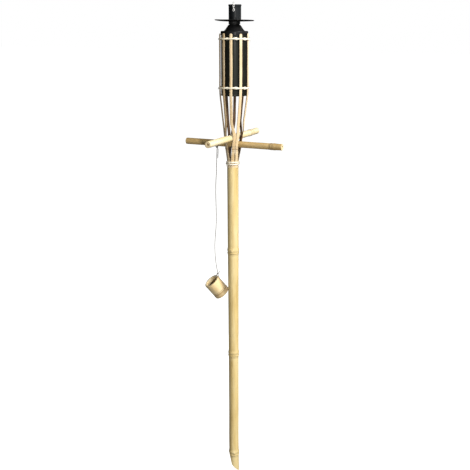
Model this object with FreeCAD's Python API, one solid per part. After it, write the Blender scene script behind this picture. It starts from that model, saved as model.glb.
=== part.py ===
import FreeCAD, Part

import math
import os

# Bamboo garden torch: a culm whose head is split into a basket that holds a fuel tin.
# Frame: +Z up, origin on the culm's axis at the level of the stake's point.
# The lower crossbar lies along X and the upper one along Y. Lengths are in millimetres.

# ---- culm ----
NODE_HEIGHTS = [47.0, 321.0, 590.0]  # the joints of the bamboo, from the stake up
CULM_RADII = [(12.2, 12.35), (12.55, 12.7), (13.4, 13.6)]  # below and above each joint
CULM_TOP = 806.0  # where the culm ends and its split strips begin
CULM_TOP_R = 13.75
BORE_RADII = [6.0, 8.6, 9.4, 9.8]  # the hollow below the first joint, then above each one
SEPTUM = 4.0  # thickness of the diaphragm inside each joint
GRIP_R = 13.0
GRIP_Z = (376.0, 448.0)  # the true cylinder that a bracket clamps
STAKE_LEAN = 207.0  # the stake is pared from this side, in degrees from +X
STAKE_SHOULDER = (11.0, 38.0)  # (distance from axis, height) where the paring starts
STAKE_KNEE = (6.6, 18.0)
STAKE_POINT = (-11.6, 0.0)

# ---- strips of the basket ----
LOWER_BAR_Z = 860.4
UPPER_BAR_Z = 876.2
# height, radius of the outer face, half width outside, half width inside, thickness
STRIP_STATIONS = [
    (806.0, 12.9, 4.75, 3.30, 3.0),
    (815.0, 13.6, 4.60, 3.30, 3.0),
    (830.0, 16.0, 4.20, 3.40, 2.9),
    (845.0, 18.4, 3.90, 3.40, 2.8),
    (LOWER_BAR_Z, 20.4, 3.70, 3.40, 2.8),
    (868.3, 21.5, 3.70, 3.45, 2.8),
    (UPPER_BAR_Z, 22.6, 3.70, 3.50, 2.8),
    (892.0, 24.7, 3.70, 3.55, 2.8),
    (906.0, 26.6, 3.70, 3.55, 2.8),
    (918.0, 28.2, 3.75, 3.60, 2.8),
    (935.0, 30.4, 3.80, 3.65, 2.8),
    (954.0, 32.8, 3.80, 3.65, 2.8),
    (966.0, 34.4, 3.85, 3.70, 2.8),
    (980.0, 36.0, 3.85, 3.75, 2.8),
    (993.0, 36.6, 3.85, 3.75, 2.8),
    (1025.0, 36.7, 3.85, 3.75, 2.8),
    (1070.0, 36.7, 3.80, 3.70, 2.8),
    (1111.0, 36.5, 3.60, 3.50, 2.8),
    (1120.0, 36.3, 2.90, 2.80, 2.4),
    (1122.5, 36.2, 1.70, 1.60, 1.8),
]
# Each strip's direction in degrees: at its root, beside each bar, and in the basket.
STRIP_TURNS = [
    (22.5, 38.4, 35.2, 2.5),
    (67.5, 61.2, 55.6, 80.5),
    (112.5, 118.8, 124.4, 114.5),
    (157.5, 141.6, 144.8, 150.5),
    (202.5, 218.4, 215.2, 222.0),
    (247.5, 241.2, 235.6, 252.5),
    (292.5, 298.8, 304.4, 284.5),
    (337.5, 321.6, 324.8, 322.5),
]
BASKET_FROM = 918.0  # from here up each strip keeps its direction

# ---- crossbars ----
BAR_R = 7.8
BAR_LENGTH = 260.0
BAR_BORE_R = 3.2
BAR_BORE_DEPTHS = (24.0, 52.0)  # up to the joint at the plus end, and at the minus end
BAR_JOINT_R = 8.5
LOWER_BAR_JOINT = 105.0
UPPER_BAR_JOINT = 90.0

# ---- cane bindings ----
CANE_R = 1.1
WEAVE_Z = {"lower": 995.2, "upper": 1109.2}
WEAVE_R = {"lower": 35.56, "upper": 35.46}  # a strand's mean distance from the axis
WEAVE_OUT = 2.54  # how far it steps out and in from there
WEAVE_BEND_R = 5.0
WEAVE_RISE = 1.6  # how far the strands pass above and below each other
THROAT_Z = (813.0, 816.0)
THROAT_R = 16.1
THROAT_CANE_R = 1.3

# ---- fuel tin ----
TIN_R = 30.5
SHEET = 0.7
TIN_BASE_Z = 976.6
TIN_SEAM_R = 31.1
TIN_SEAM_H = 3.6
TIN_TOP_Z = 1119.0
TIN_RIM_R = 32.6
SHOULDER_Z = 1127.3
CONE_R = 25.4
NECK_R = 12.0
NECK_TOP = 1147.3
CONE_TOP = 1141.5

# ---- burner ----
COLLAR_R = 13.6
COLLAR_Z = (1142.7, 1149.5)
WICK_TUBE_R = 8.4
WICK_TUBE_WALL = 0.6
WICK_TUBE_Z = (1117.0, 1172.9)
WICK_R = 7.4
WICK_Z = (988.0, 1176.4)

# ---- flame guard and snuffer cap ----
GUARD_R = 46.5
GUARD_HOLE_R = 9.0
GUARD_Z = 1149.8
GUARD_T = 0.8
GUARD_BEAD_R = 0.8
CAP_R = 14.7
CAP_Z = (1150.9, 1187.9)
CAP_BEAD = 0.7
CAP_FRONT = -63.0  # the chain hangs on this side, in degrees from +X
CAP_RING_R = 3.2
CAP_RING_WIRE = 0.7
CAP_RING_OUT = 9.3  # distance from the cap's axis to the ring
CAP_RING_SIDE = 3.0  # and to the side
CHAIN_WIRE = 0.55
CHAIN_WIDTH = 3.2  # between the middles of a link's sides
CHAIN_STRAIGHT = 3.0  # length of a link's straight sides
CHAIN_GAP = 0.35
CHAIN_DROPS = [11.5, 78.0, 90.0, 90.0, 90.0]  # each link's slope below the horizontal
CHAIN_FIXED = 1  # the link that lies on the cap; the others hang and swing

# ---- cup on its string ----
STRING_R = 0.9
STRING_X = -46.0
LOOP_CLEARANCE = 0.3
TOP_KNOT_Z = 849.3
KNOT_R = 2.3
CUP_KNOT_Z = 529.0
STRING_ROUTE = [
    (-46.0, 0.0, 846.6),
    (-46.4, -0.5, 825.0),
    (-46.8, -1.4, 801.0),
    (-47.0, -1.8, 784.0),
    (-48.3, -2.7, 762.0),
    (-48.5, -2.9, 734.0),
    (-47.8, -2.7, 704.0),
    (-47.3, -2.4, 676.0),
    (-48.0, -2.9, 648.0),
    (-50.3, -4.0, 622.0),
    (-51.0, -4.5, 600.0),
    (-50.6, -4.0, 579.0),
    (-49.3, -3.0, 559.0),
    (-47.0, -1.1, 543.0),
    (-46.0, 0.0, 531.7),
]
CUP_R = 20.2
CUP_WALL = 4.6
CUP_LENGTH = 45.0
CUP_SEPTUM = 5.0
CUP_HOLE_R = 1.9
CUP_HOLE_FROM_RIM = 7.0
CUP_LEAN = 40.0  # the angle between the cup's axis and the vertical
CUP_HEADING = 49.0  # the closed end points this way, in degrees from +X
CUP_BALANCE = 25.6  # from the middle of the mouth to the centre of mass
CUP_DROP = 37.0  # how far the centre of mass hangs below the knot
CUP_LOOP_GAP = 1.3

Z = FreeCAD.Vector(0, 0, 1)
ORIGIN = FreeCAD.Vector(0, 0, 0)


def v(x, y, z):
    return FreeCAD.Vector(x, y, z)


def polar(radius, degrees, height):
    turn = math.radians(degrees)
    return v(radius * math.cos(turn), radius * math.sin(turn), height)


def cylinder(radius, low, high):
    return Part.makeCylinder(radius, high - low, v(0, 0, low))


def tube_ring(outer, inner, low, high):
    return cylinder(outer, low, high).cut(cylinder(inner, low - 1, high + 1))


def turned(profile):
    """The solid of revolution about Z of a closed outline of (radius, height) points."""
    points = [v(r, 0, z) for r, z in profile]
    face = Part.Face(Part.makePolygon(points + points[:1]))
    return face.revolve(ORIGIN, Z, 360)


def sheet_metal(line, thickness):
    """A turned shell: the line of (radius, height) points, and its offset to the left."""
    normals = []
    for (r0, z0), (r1, z1) in zip(line, line[1:]):
        length = math.hypot(r1 - r0, z1 - z0)
        normals.append((-(z1 - z0) / length, (r1 - r0) / length))
    inside = []
    for i, (r, z) in enumerate(line):
        before = normals[max(i - 1, 0)]
        after = normals[min(i, len(normals) - 1)]
        share = 1 + before[0] * after[0] + before[1] * after[1]
        step_r = thickness * (before[0] + after[0]) / share
        step_z = thickness * (before[1] + after[1]) / share
        inside.append((r + step_r, z + step_z))
    return turned(line + inside[::-1])


def rounded_path(points, closed=False, largest=1e9):
    """Straight runs joined by tangent arcs, and the list of the arcs' radii."""
    count = len(points)
    corners = range(count) if closed else range(1, count - 1)
    arcs = {}
    for i in corners:
        here, back, ahead = points[i], points[i - 1], points[(i + 1) % count]
        inward, outward = here - back, ahead - here
        turn = inward.getAngle(outward)
        reach = 0.45 * min(inward.Length, outward.Length)
        radius = min(reach / math.tan(turn / 2), largest)
        reach = radius * math.tan(turn / 2)
        start = here - inward.normalize() * reach
        end = here + outward.normalize() * reach
        towards = (start + end) * 0.5 - here
        middle = here + towards.normalize() * (radius / math.cos(turn / 2) - radius)
        arcs[i] = (start, middle, end, radius)
    edges = []
    last = arcs[count - 1][2] if closed else points[0]
    for i in range(count if closed else count - 1):
        if i in arcs:
            start, middle, end, _ = arcs[i]
            edges.append(Part.LineSegment(last, start).toShape())
            edges.append(Part.Arc(start, middle, end).toShape())
            last = end
    if not closed:
        edges.append(Part.LineSegment(last, points[-1]).toShape())
    return Part.Wire(edges), [arc[3] for arc in arcs.values()]


def swept_round(path, radius):
    """A round bar of that radius along a path of runs and arcs."""
    edge = path.OrderedEdges[0]
    start = edge.valueAt(edge.FirstParameter)
    direction = edge.tangentAt(edge.FirstParameter)
    circle = Part.Wire(Part.makeCircle(radius, start, direction))
    pipe = Part.BRepOffsetAPI.MakePipeShell(path)
    pipe.setFrenetMode(False)
    pipe.add(circle)
    pipe.build()
    pipe.makeSolid()
    return pipe.shape()


def oval_link(centre, along, across, straight, width, wire):
    """A link of round wire: two straight sides joined by half circles."""
    up, side = along * (straight / 2), across * (width / 2)
    tip = along * (straight / 2 + width / 2)
    edges = [
        Part.LineSegment(centre + side - up, centre + side + up).toShape(),
        Part.Arc(centre + side + up, centre + tip, centre - side + up).toShape(),
        Part.LineSegment(centre - side + up, centre - side - up).toShape(),
        Part.Arc(centre - side - up, centre - tip, centre + side - up).toShape(),
    ]
    return swept_round(Part.Wire(edges), wire)


def joint_swelling(height, below, above):
    """Outline points of one bamboo joint: a sharp sheath scar under a soft ridge."""
    return [
        (below, height - 14),
        (below + 0.25, height - 5.2),
        (below + 1.35, height - 4.2),
        (below + 1.35, height - 3.0),
        (below + 0.55, height - 2.0),
        (above + 0.75, height + 1.2),
        (above + 1.30, height + 4.2),
        (above + 0.75, height + 8.0),
        (above, height + 15),
    ]


def make_culm():
    outline = [(0, 0), (CULM_RADII[0][0], 0)]
    outline += joint_swelling(NODE_HEIGHTS[0], *CULM_RADII[0])
    outline += joint_swelling(NODE_HEIGHTS[1], *CULM_RADII[1])
    outline += [(CULM_RADII[1][1], GRIP_Z[0] - 4), (GRIP_R, GRIP_Z[0]), (GRIP_R, GRIP_Z[1])]
    outline += joint_swelling(NODE_HEIGHTS[2], *CULM_RADII[2])
    outline += [(CULM_TOP_R, CULM_TOP), (0, CULM_TOP)]
    culm = turned(outline)
    floors = [-1.0] + [h + SEPTUM / 2 for h in NODE_HEIGHTS]
    ceilings = [h - SEPTUM / 2 for h in NODE_HEIGHTS] + [CULM_TOP + 1]
    for radius, low, high in zip(BORE_RADII, floors, ceilings):
        culm = culm.cut(cylinder(radius, low, high))
    return culm.cut(stake_paring())


def stake_paring():
    """What is cut away to point the stake: all that lies beyond two slanting planes."""
    away = 60.0
    line = [STAKE_SHOULDER, STAKE_KNEE, STAKE_POINT]
    points = [v(r, 0, z) for r, z in line]
    points += [v(STAKE_POINT[0], 0, -away), v(away, 0, -away), v(away, 0, 80)]
    points += [v(STAKE_SHOULDER[0] + 9.2, 0, 80)]
    face = Part.Face(Part.makePolygon(points + points[:1]))
    face.translate(v(0, -away, 0))
    block = face.extrude(v(0, 2 * away, 0))
    block.rotate(ORIGIN, Z, STAKE_LEAN)
    return block


def smooth_between(low, high, share):
    share = min(1.0, max(0.0, share))
    return low + (high - low) * share * share * (3 - 2 * share)


def strip_direction(turns, height):
    """A strip's direction at a height: it steers round each bar, then spreads out."""
    root, at_lower, at_upper, basket = turns
    if height <= LOWER_BAR_Z:
        return smooth_between(root, at_lower, (height - CULM_TOP - 9) / (LOWER_BAR_Z - CULM_TOP - 9))
    if height <= UPPER_BAR_Z:
        share = (height - LOWER_BAR_Z) / (UPPER_BAR_Z - LOWER_BAR_Z)
        return at_lower + (at_upper - at_lower) * share
    return smooth_between(at_upper, basket, (height - UPPER_BAR_Z) / (BASKET_FROM - UPPER_BAR_Z))


def make_strip(turns):
    sections = []
    for height, radius, half_out, half_in, thickness in STRIP_STATIONS:
        degrees = strip_direction(turns, height)
        out = polar(1, degrees, 0)
        side = polar(1, degrees + 90, 0)
        face = out * radius + Z * height
        back = out * (radius - thickness) + Z * height
        corners = [face + side * half_out, face - side * half_out]
        corners += [back - side * half_in, back + side * half_in]
        sections.append(Part.makePolygon(corners + corners[:1]))
    return Part.makeLoft(sections, True, True)


def make_crossbar(joint):
    """A bamboo bar along X about the origin, hollow at its ends, with one joint."""
    half = BAR_LENGTH / 2
    outline = [(0, -half), (BAR_R - 0.4, -half), (BAR_R, -half + 1)]
    outline += [(BAR_R, joint - 5), (BAR_JOINT_R, joint - 2), (BAR_JOINT_R, joint - 0.8)]
    outline += [(BAR_R, joint), (BAR_JOINT_R, joint + 1.5), (BAR_R, joint + 6)]
    outline += [(BAR_R, half - 1), (BAR_R - 0.4, half), (0, half)]
    bar = turned(outline)
    bar = bar.cut(cylinder(BAR_BORE_R, half - BAR_BORE_DEPTHS[0], half + 1))
    bar = bar.cut(cylinder(BAR_BORE_R, -half - 1, -half + BAR_BORE_DEPTHS[1]))
    bar.rotate(ORIGIN, v(0, 1, 0), 90)
    return bar


def make_weave_strand(name, first_side):
    """One of two strands twined round the strips: outside one strip, inside the next."""
    radius, height = WEAVE_R[name], WEAVE_Z[name]
    directions = [turns[3] for turns in STRIP_TURNS]
    half_strip = math.degrees(5.0 / radius)
    points = []
    for i, degrees in enumerate(directions):
        side = first_side if i % 2 == 0 else -first_side
        points.append(polar(radius + side * WEAVE_OUT, degrees - half_strip, height))
        points.append(polar(radius + side * WEAVE_OUT, degrees + half_strip, height))
        following = directions[(i + 1) % len(directions)] + (360 if i == 7 else 0)
        middle = (degrees + following) / 2
        points.append(polar(radius, middle, height + side * WEAVE_RISE))
    edges = rounded_path(points, closed=True, largest=WEAVE_BEND_R)[0].OrderedEdges
    half = len(edges) // 2
    first = swept_round(Part.Wire(edges[:half]), CANE_R)
    return first.fuse(swept_round(Part.Wire(edges[half:]), CANE_R))


def make_throat_binding():
    turns = [Part.makeTorus(THROAT_R, THROAT_CANE_R, v(0, 0, z)) for z in THROAT_Z]
    return Part.makeCompound(turns)


def make_tin_body():
    return tube_ring(TIN_R, TIN_R - SHEET, TIN_BASE_Z + SHEET, TIN_TOP_Z)


def make_tin_base():
    """The pressed bottom: a recessed panel with a seam folded round the body's edge."""
    panel_z = TIN_BASE_Z + 3.0
    inner = TIN_R - SHEET
    outline = [(0, panel_z), (inner - SHEET - 1.5, panel_z), (inner - SHEET, TIN_BASE_Z)]
    outline += [(TIN_SEAM_R, TIN_BASE_Z), (TIN_SEAM_R, TIN_BASE_Z + TIN_SEAM_H)]
    outline += [(TIN_R, TIN_BASE_Z + TIN_SEAM_H), (TIN_R, TIN_BASE_Z + SHEET)]
    outline += [(inner, TIN_BASE_Z + SHEET), (inner - 1.5, panel_z + SHEET), (0, panel_z + SHEET)]
    return turned(outline)


def make_tin_top():
    """The pressed top: a rim round the body, a flat shoulder and a cone."""
    line = [(NECK_R, CONE_TOP), (NECK_R + 1.2, CONE_TOP), (CONE_R, SHOULDER_Z)]
    line += [(TIN_RIM_R - 1.9, SHOULDER_Z), (TIN_RIM_R - 0.5, SHOULDER_Z - 0.7)]
    line += [(TIN_RIM_R, SHOULDER_Z - 2.4), (TIN_RIM_R, TIN_TOP_Z - 1.0)]
    shell = sheet_metal(line[::-1], SHEET)
    seat = tube_ring(TIN_RIM_R - SHEET, TIN_R, TIN_TOP_Z - 1.0, TIN_TOP_Z)
    ledge = tube_ring(TIN_RIM_R - SHEET, TIN_R - 2.0, TIN_TOP_Z, TIN_TOP_Z + SHEET)
    return shell.fuse([seat, ledge]).removeSplitter()


def make_neck():
    """The filler neck, with two rolled ridges that the burner's collar screws on."""
    inner = NECK_R - SHEET
    low = CONE_TOP - 6.0
    outline = [(inner, low), (NECK_R, low)]
    for ridge in (CONE_TOP + 2.2, CONE_TOP + 4.4):
        outline += [(NECK_R, ridge - 0.7), (NECK_R + 0.5, ridge), (NECK_R, ridge + 0.7)]
    outline += [(NECK_R, NECK_TOP), (inner, NECK_TOP)]
    return turned(outline)


def make_collar():
    low, high = COLLAR_Z
    skirt = tube_ring(COLLAR_R, COLLAR_R - SHEET, low, high)
    plate = tube_ring(COLLAR_R - SHEET, WICK_TUBE_R, high - SHEET, high)
    return skirt.fuse(plate).removeSplitter()


def make_wick_tube():
    low, high = WICK_TUBE_Z
    inner = WICK_TUBE_R - WICK_TUBE_WALL
    outline = [(inner, low), (WICK_TUBE_R, low), (WICK_TUBE_R, high - 1.4)]
    outline += [(WICK_TUBE_R + 0.7, high - 0.8), (WICK_TUBE_R + 0.7, high - 0.2)]
    outline += [(WICK_TUBE_R, high), (inner, high)]
    return turned(outline)


def make_wick():
    low, high = WICK_Z
    wick = cylinder(WICK_R, low, high)
    return wick.makeChamfer(0.8, wick.Edges)


def make_flame_guard():
    """A pressed disc with a rolled edge and a shallow stiffening step."""
    low, high = GUARD_Z, GUARD_Z + GUARD_T
    step = 0.9
    outline = [(GUARD_HOLE_R, low), (21, low), (23, low + step), (GUARD_R - 1, low + step)]
    outline += [(GUARD_R - 1, high + step), (23, high + step), (21, high), (GUARD_HOLE_R, high)]
    middle = v(0, 0, low + step + GUARD_T / 2)
    bead = Part.makeTorus(GUARD_R - GUARD_BEAD_R, GUARD_BEAD_R, middle)
    return turned(outline).fuse(bead).removeSplitter()


def make_cap():
    """The snuffer: a deep cap with a rolled bead at its top and its mouth."""
    low, high = CAP_Z
    inner = CAP_R - SHEET
    beaded = CAP_R + CAP_BEAD
    outline = [(inner, low), (beaded, low), (beaded, low + 1.8), (CAP_R, low + 2.6)]
    outline += [(CAP_R, high - 4.2), (beaded, high - 3.4), (beaded, high - 1.2)]
    outline += [(CAP_R - 0.4, high), (0, high), (0, high - SHEET), (inner, high - SHEET)]
    return turned(outline)


def front_frame():
    """Unit vectors of the cap's front: outwards and sideways."""
    return polar(1, CAP_FRONT, 0), polar(1, CAP_FRONT + 90, 0)


def make_cap_ring():
    """A wire ring on a small tab, standing on the cap near its front edge."""
    out, side = front_frame()
    foot = out * CAP_RING_OUT - side * CAP_RING_SIDE + Z * CAP_Z[1]
    tab = Part.makeCylinder(3.0, 0.8, foot)
    centre = foot + Z * (CAP_RING_R + CAP_RING_WIRE + 0.1)
    ring = Part.makeTorus(CAP_RING_R, CAP_RING_WIRE, centre, side)
    return tab.fuse(ring).removeSplitter()


def make_chain_links():
    """Links that run from the ring over the cap's edge, each turned from the one before."""
    out, side = front_frame()
    ring_z = CAP_Z[1] + CAP_RING_R + CAP_RING_WIRE + 0.1
    held_by = out * (CAP_RING_OUT + CAP_RING_R) - side * CAP_RING_SIDE + Z * ring_z
    bite = CAP_RING_WIRE + CHAIN_WIRE + CHAIN_GAP
    half_link = (CHAIN_STRAIGHT + CHAIN_WIDTH) / 2
    links = []
    for i, drop in enumerate(CHAIN_DROPS):
        slope = math.radians(drop)
        along = out * math.cos(slope) - Z * math.sin(slope)
        across = along.cross(side) if i % 2 else side
        centre = held_by + along * (half_link - bite)
        links.append(oval_link(centre, along, across, CHAIN_STRAIGHT, CHAIN_WIDTH, CHAIN_WIRE))
        if i == CHAIN_FIXED:
            print("cap chain hinge %.2f %.2f %.2f" % tuple(held_by))
        held_by = centre + along * half_link
        bite = 2 * CHAIN_WIRE + CHAIN_GAP
    return links


def make_cap_rivet():
    """A rivet's round head on the cap's front, close above its mouth."""
    out, side = front_frame()
    foot = out * (CAP_R - 0.3) + side * 2.8 + Z * (CAP_Z[0] + 5.5)
    head = Part.makeCylinder(1.9, 1.3, foot, out)
    head = head.makeFillet(0.5, [head.Edges[0]])
    return head.cut(cylinder(CAP_R, *CAP_Z))


def make_string_loop():
    """The string's loop round the lower bar, with its knot under the bar."""
    radius = BAR_R + LOOP_CLEARANCE + STRING_R
    centre = v(STRING_X, 0, LOWER_BAR_Z)
    loop = Part.makeTorus(radius, STRING_R, centre, v(1, 0, 0))
    knot = Part.makeSphere(KNOT_R, v(STRING_X, 0, TOP_KNOT_Z))
    return loop.fuse(knot).removeSplitter()


def make_string():
    points = [v(*point) for point in STRING_ROUTE]
    path, radii = rounded_path(points)
    string = swept_round(path, STRING_R)
    ideal = math.pi * STRING_R**2 * path.Length
    print("string length %.1f, volume %.1f of %.1f" % (path.Length, string.Volume, ideal))
    print("string arc radii", " ".join("%.0f" % radius for radius in radii))
    return string


def cup_axes():
    """The cup's unit vectors: towards its closed end, and towards its string hole."""
    lean = math.radians(CUP_LEAN)
    level = polar(1, CUP_HEADING, 0)
    axis = level * math.sin(lean) - Z * math.cos(lean)
    towards_hole = level * math.cos(lean) + Z * math.sin(lean)
    return axis, towards_hole


def cup_mouth():
    """The middle of the cup's mouth: its centre of mass hangs straight below the knot."""
    axis, _ = cup_axes()
    return v(STRING_X, 0, CUP_KNOT_Z - CUP_DROP) - axis * CUP_BALANCE


def make_cup():
    """A short length of bamboo, closed by its joint at one end."""
    axis, towards_hole = cup_axes()
    mouth = cup_mouth()
    swelling = CUP_R + 0.9
    closed = CUP_LENGTH - CUP_SEPTUM
    profile = [(0, CUP_LENGTH), (CUP_R - 0.6, CUP_LENGTH), (CUP_R, CUP_LENGTH - 1.0)]
    profile += [(CUP_R, closed + 3.0), (swelling, closed + 1.0), (CUP_R, closed - 5.0)]
    profile += [(CUP_R, 0.8), (CUP_R - 0.8, 0), (CUP_R - CUP_WALL, 0)]
    profile += [(CUP_R - CUP_WALL, closed), (0, closed)]
    cup = turned(profile)
    cup.Placement = FreeCAD.Placement(mouth, FreeCAD.Rotation(Z, axis))
    start = mouth + axis * CUP_HOLE_FROM_RIM
    hole = Part.makeCylinder(CUP_HOLE_R, CUP_R + 5, start, towards_hole)
    return cup.cut(hole)


def make_cup_loop():
    """The loop through the cup's hole and over its rim, its knot and its loose end."""
    axis, towards_hole = cup_axes()
    knot = v(STRING_X, 0, CUP_KNOT_Z)
    outside = cup_mouth() + towards_hole * (CUP_R + CUP_LOOP_GAP)
    inside = cup_mouth() + towards_hole * (CUP_R - CUP_WALL - CUP_LOOP_GAP)
    hole = axis * CUP_HOLE_FROM_RIM
    corners = [knot, outside + hole, inside + hole, inside - axis * CUP_LOOP_GAP]
    loop = swept_round(rounded_path(corners, closed=True, largest=1.5)[0], STRING_R)
    side = polar(1, 27, 0)
    tail = [knot, knot + side * 3.0 + Z * 2.0, knot + side * 5.0 + Z * 7.0]
    loose_end = swept_round(rounded_path(tail)[0], STRING_R)
    return loop.fuse([Part.makeSphere(KNOT_R, knot), loose_end]).removeSplitter()


def turned_about_z(shape, degrees):
    shape.rotate(ORIGIN, Z, degrees)
    return shape


def moved(shape, x, y, z):
    shape.translate(v(x, y, z))
    return shape


def make_all():
    parts = {"culm": make_culm()}
    for i, turns in enumerate(STRIP_TURNS):
        parts["basket_strip_%d" % (i + 1)] = make_strip(turns)
    parts["lower_crossbar"] = moved(make_crossbar(LOWER_BAR_JOINT), 0, 0, LOWER_BAR_Z)
    upper = turned_about_z(make_crossbar(UPPER_BAR_JOINT), 90)
    parts["upper_crossbar"] = moved(upper, 0, 0, UPPER_BAR_Z)
    parts["throat_binding"] = make_throat_binding()
    for level in WEAVE_Z:
        parts[level + "_weave_a"] = make_weave_strand(level, 1)
        parts[level + "_weave_b"] = make_weave_strand(level, -1)
    parts["tin_body"] = make_tin_body()
    parts["tin_base"] = make_tin_base()
    parts["tin_top"] = make_tin_top()
    parts["filler_neck"] = make_neck()
    parts["burner_collar"] = make_collar()
    parts["wick_tube"] = make_wick_tube()
    parts["wick"] = make_wick()
    parts["flame_guard"] = make_flame_guard()
    parts["snuffer_cap"] = make_cap()
    parts["cap_ring"] = make_cap_ring()
    parts["cap_rivet"] = make_cap_rivet()
    links = make_chain_links()
    parts["chain_top_link"] = Part.makeCompound(links[:CHAIN_FIXED])
    parts["cap_chain"] = Part.makeCompound(links[CHAIN_FIXED:])
    parts["string_loop"] = make_string_loop()
    parts["string"] = make_string()
    parts["snuffer_cup"] = make_cup()
    parts["cup_loop"] = make_cup_loop()
    return parts


def main():
    os.makedirs("parts", exist_ok=True)
    for name, shape in make_all().items():
        if not shape.isValid() or shape.Volume <= 0:
            print("bad shape:", name, shape.isValid(), shape.Volume)
        shape.exportStep("parts/%s.step" % name)
        print("%-18s solids %d volume %.0f" % (name, len(shape.Solids), shape.Volume))


main()
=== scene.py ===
import math

import bmesh
import bpy
import numpy as np
from mathutils import Matrix, Vector, noise


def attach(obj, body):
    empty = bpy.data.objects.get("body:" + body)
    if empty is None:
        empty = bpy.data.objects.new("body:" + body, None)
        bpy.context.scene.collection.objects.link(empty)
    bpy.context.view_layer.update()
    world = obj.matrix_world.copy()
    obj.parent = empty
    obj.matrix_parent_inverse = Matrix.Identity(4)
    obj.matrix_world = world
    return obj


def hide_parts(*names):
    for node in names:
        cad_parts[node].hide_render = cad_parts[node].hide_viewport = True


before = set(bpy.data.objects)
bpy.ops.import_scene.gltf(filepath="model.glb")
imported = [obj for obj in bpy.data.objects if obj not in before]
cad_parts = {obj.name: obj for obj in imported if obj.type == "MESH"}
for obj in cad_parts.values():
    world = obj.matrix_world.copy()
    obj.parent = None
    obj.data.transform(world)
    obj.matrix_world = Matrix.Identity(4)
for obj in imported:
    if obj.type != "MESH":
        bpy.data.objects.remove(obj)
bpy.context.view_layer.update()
scene = bpy.context.scene
Z = Vector((0, 0, 1))
MM = 0.001

# ---------------------------------------------------------------- camera and string

CAMERA_AZIMUTH = math.radians(27)
CAMERA_DISTANCE = 2.2
CAMERA_HEIGHT = 1.152
CAMERA_PITCH = math.radians(13.25)
CAMERA_ASIDE = 0.0031
SIDEWAYS = Vector((math.cos(CAMERA_AZIMUTH), math.sin(CAMERA_AZIMUTH), 0))  # to the camera's right
TOWARDS = Vector((math.sin(CAMERA_AZIMUTH), -math.cos(CAMERA_AZIMUTH), 0))  # to the camera


def make_camera():
    data = bpy.data.cameras.new("camera")
    data.sensor_width = 36.0
    data.lens = 69.9
    camera = bpy.data.objects.new("camera", data)
    scene.collection.objects.link(camera)
    camera.location = TOWARDS * CAMERA_DISTANCE + SIDEWAYS * CAMERA_ASIDE + Z * CAMERA_HEIGHT
    camera.rotation_euler = (math.pi / 2 - CAMERA_PITCH, 0, CAMERA_AZIMUTH)
    scene.camera = camera


make_camera()

STRING_R = 0.9 * MM
STRING_X = -46.0 * MM
STRING_ROUTE = [
    (-0.046, 0.0, 0.8466), (-0.0464, -0.0005, 0.825), (-0.0468, -0.0014, 0.801),
    (-0.047, -0.0018, 0.784), (-0.0483, -0.0027, 0.762), (-0.0485, -0.0029, 0.734),
    (-0.0478, -0.0027, 0.704), (-0.0473, -0.0024, 0.676), (-0.048, -0.0029, 0.648),
    (-0.0503, -0.004, 0.622), (-0.051, -0.0045, 0.6), (-0.0506, -0.004, 0.579),
    (-0.0493, -0.003, 0.559), (-0.047, -0.0011, 0.543), (-0.046, 0.0, 0.5317),
]

# ---------------------------------------------------------------- mesh tools


def new_object(name, mesh, materials, body, slot, *nodes):
    """Links a mesh as a piece that rides on a body and stands for CAD nodes."""
    obj = bpy.data.objects.new(name, mesh)
    scene.collection.objects.link(obj)
    dress(mesh, *materials)
    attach(obj, body)
    if nodes:
        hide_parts(*nodes)
    return obj


def build_mesh(name, points, faces, kinds=None, smooth=True):
    mesh = bpy.data.meshes.new(name)
    mesh.from_pydata([tuple(p) for p in points], [], faces)
    if kinds is not None:
        mesh.polygons.foreach_set("material_index", kinds)
    mesh.polygons.foreach_set("use_smooth", [smooth] * len(mesh.polygons))
    mesh.validate()
    mesh.update()
    return mesh


def sharpen(mesh, degrees=35):
    mesh.set_sharp_from_angle(angle=math.radians(degrees))


def mark(mesh, **marks):
    """Gives a mesh's points the named numbers or vectors that its materials read."""
    for name, values in marks.items():
        values = np.asarray(values, np.float32)
        kind, field = ("FLOAT_VECTOR", "vector") if values.ndim == 2 else ("FLOAT", "value")
        mesh.attributes.new(name, kind, "POINT").data.foreach_set(field, values.ravel())


def dress(mesh, *materials):
    for material in materials:
        mesh.materials.append(material)


def around(turn):
    """The level unit vector at an angle from +X."""
    return Vector((math.cos(turn), math.sin(turn), 0))


def full_turn(count):
    return np.linspace(0, 2 * math.pi, count, endpoint=False)


def end_faces(vertices, sides):
    """The two faces that close a stack of rings."""
    return [tuple(range(sides))[::-1], tuple(range(len(vertices) - sides, len(vertices)))]


def grid_faces(rows, columns, wrap_rows=False, wrap_columns=True):
    faces = []
    for i in range(rows if wrap_rows else rows - 1):
        for j in range(columns if wrap_columns else columns - 1):
            a, b = i * columns + j, i * columns + (j + 1) % columns
            c, d = ((i + 1) % rows) * columns + (j + 1) % columns, ((i + 1) % rows) * columns + j
            faces.append((a, b, c, d))
    return faces


def rounded_outline(outline, radius, steps=3):
    """A closed outline of (r, z) points with its corners rounded off."""
    count = len(outline)
    result = []
    for i, here in enumerate(outline):
        here = Vector(here)
        back, ahead = Vector(outline[i - 1]) - here, Vector(outline[(i + 1) % count]) - here
        reach = min(radius, 0.45 * back.length, 0.45 * ahead.length)
        if here.x < 1e-6 or reach < 1e-6:
            result.append(tuple(here))
            continue
        start, end = here + back.normalized() * reach, here + ahead.normalized() * reach
        for k in range(steps + 1):
            t = k / steps
            p = start * (1 - t) ** 2 + here * (2 * t * (1 - t)) + end * t**2
            result.append((p.x, p.y))
    return result


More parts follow.
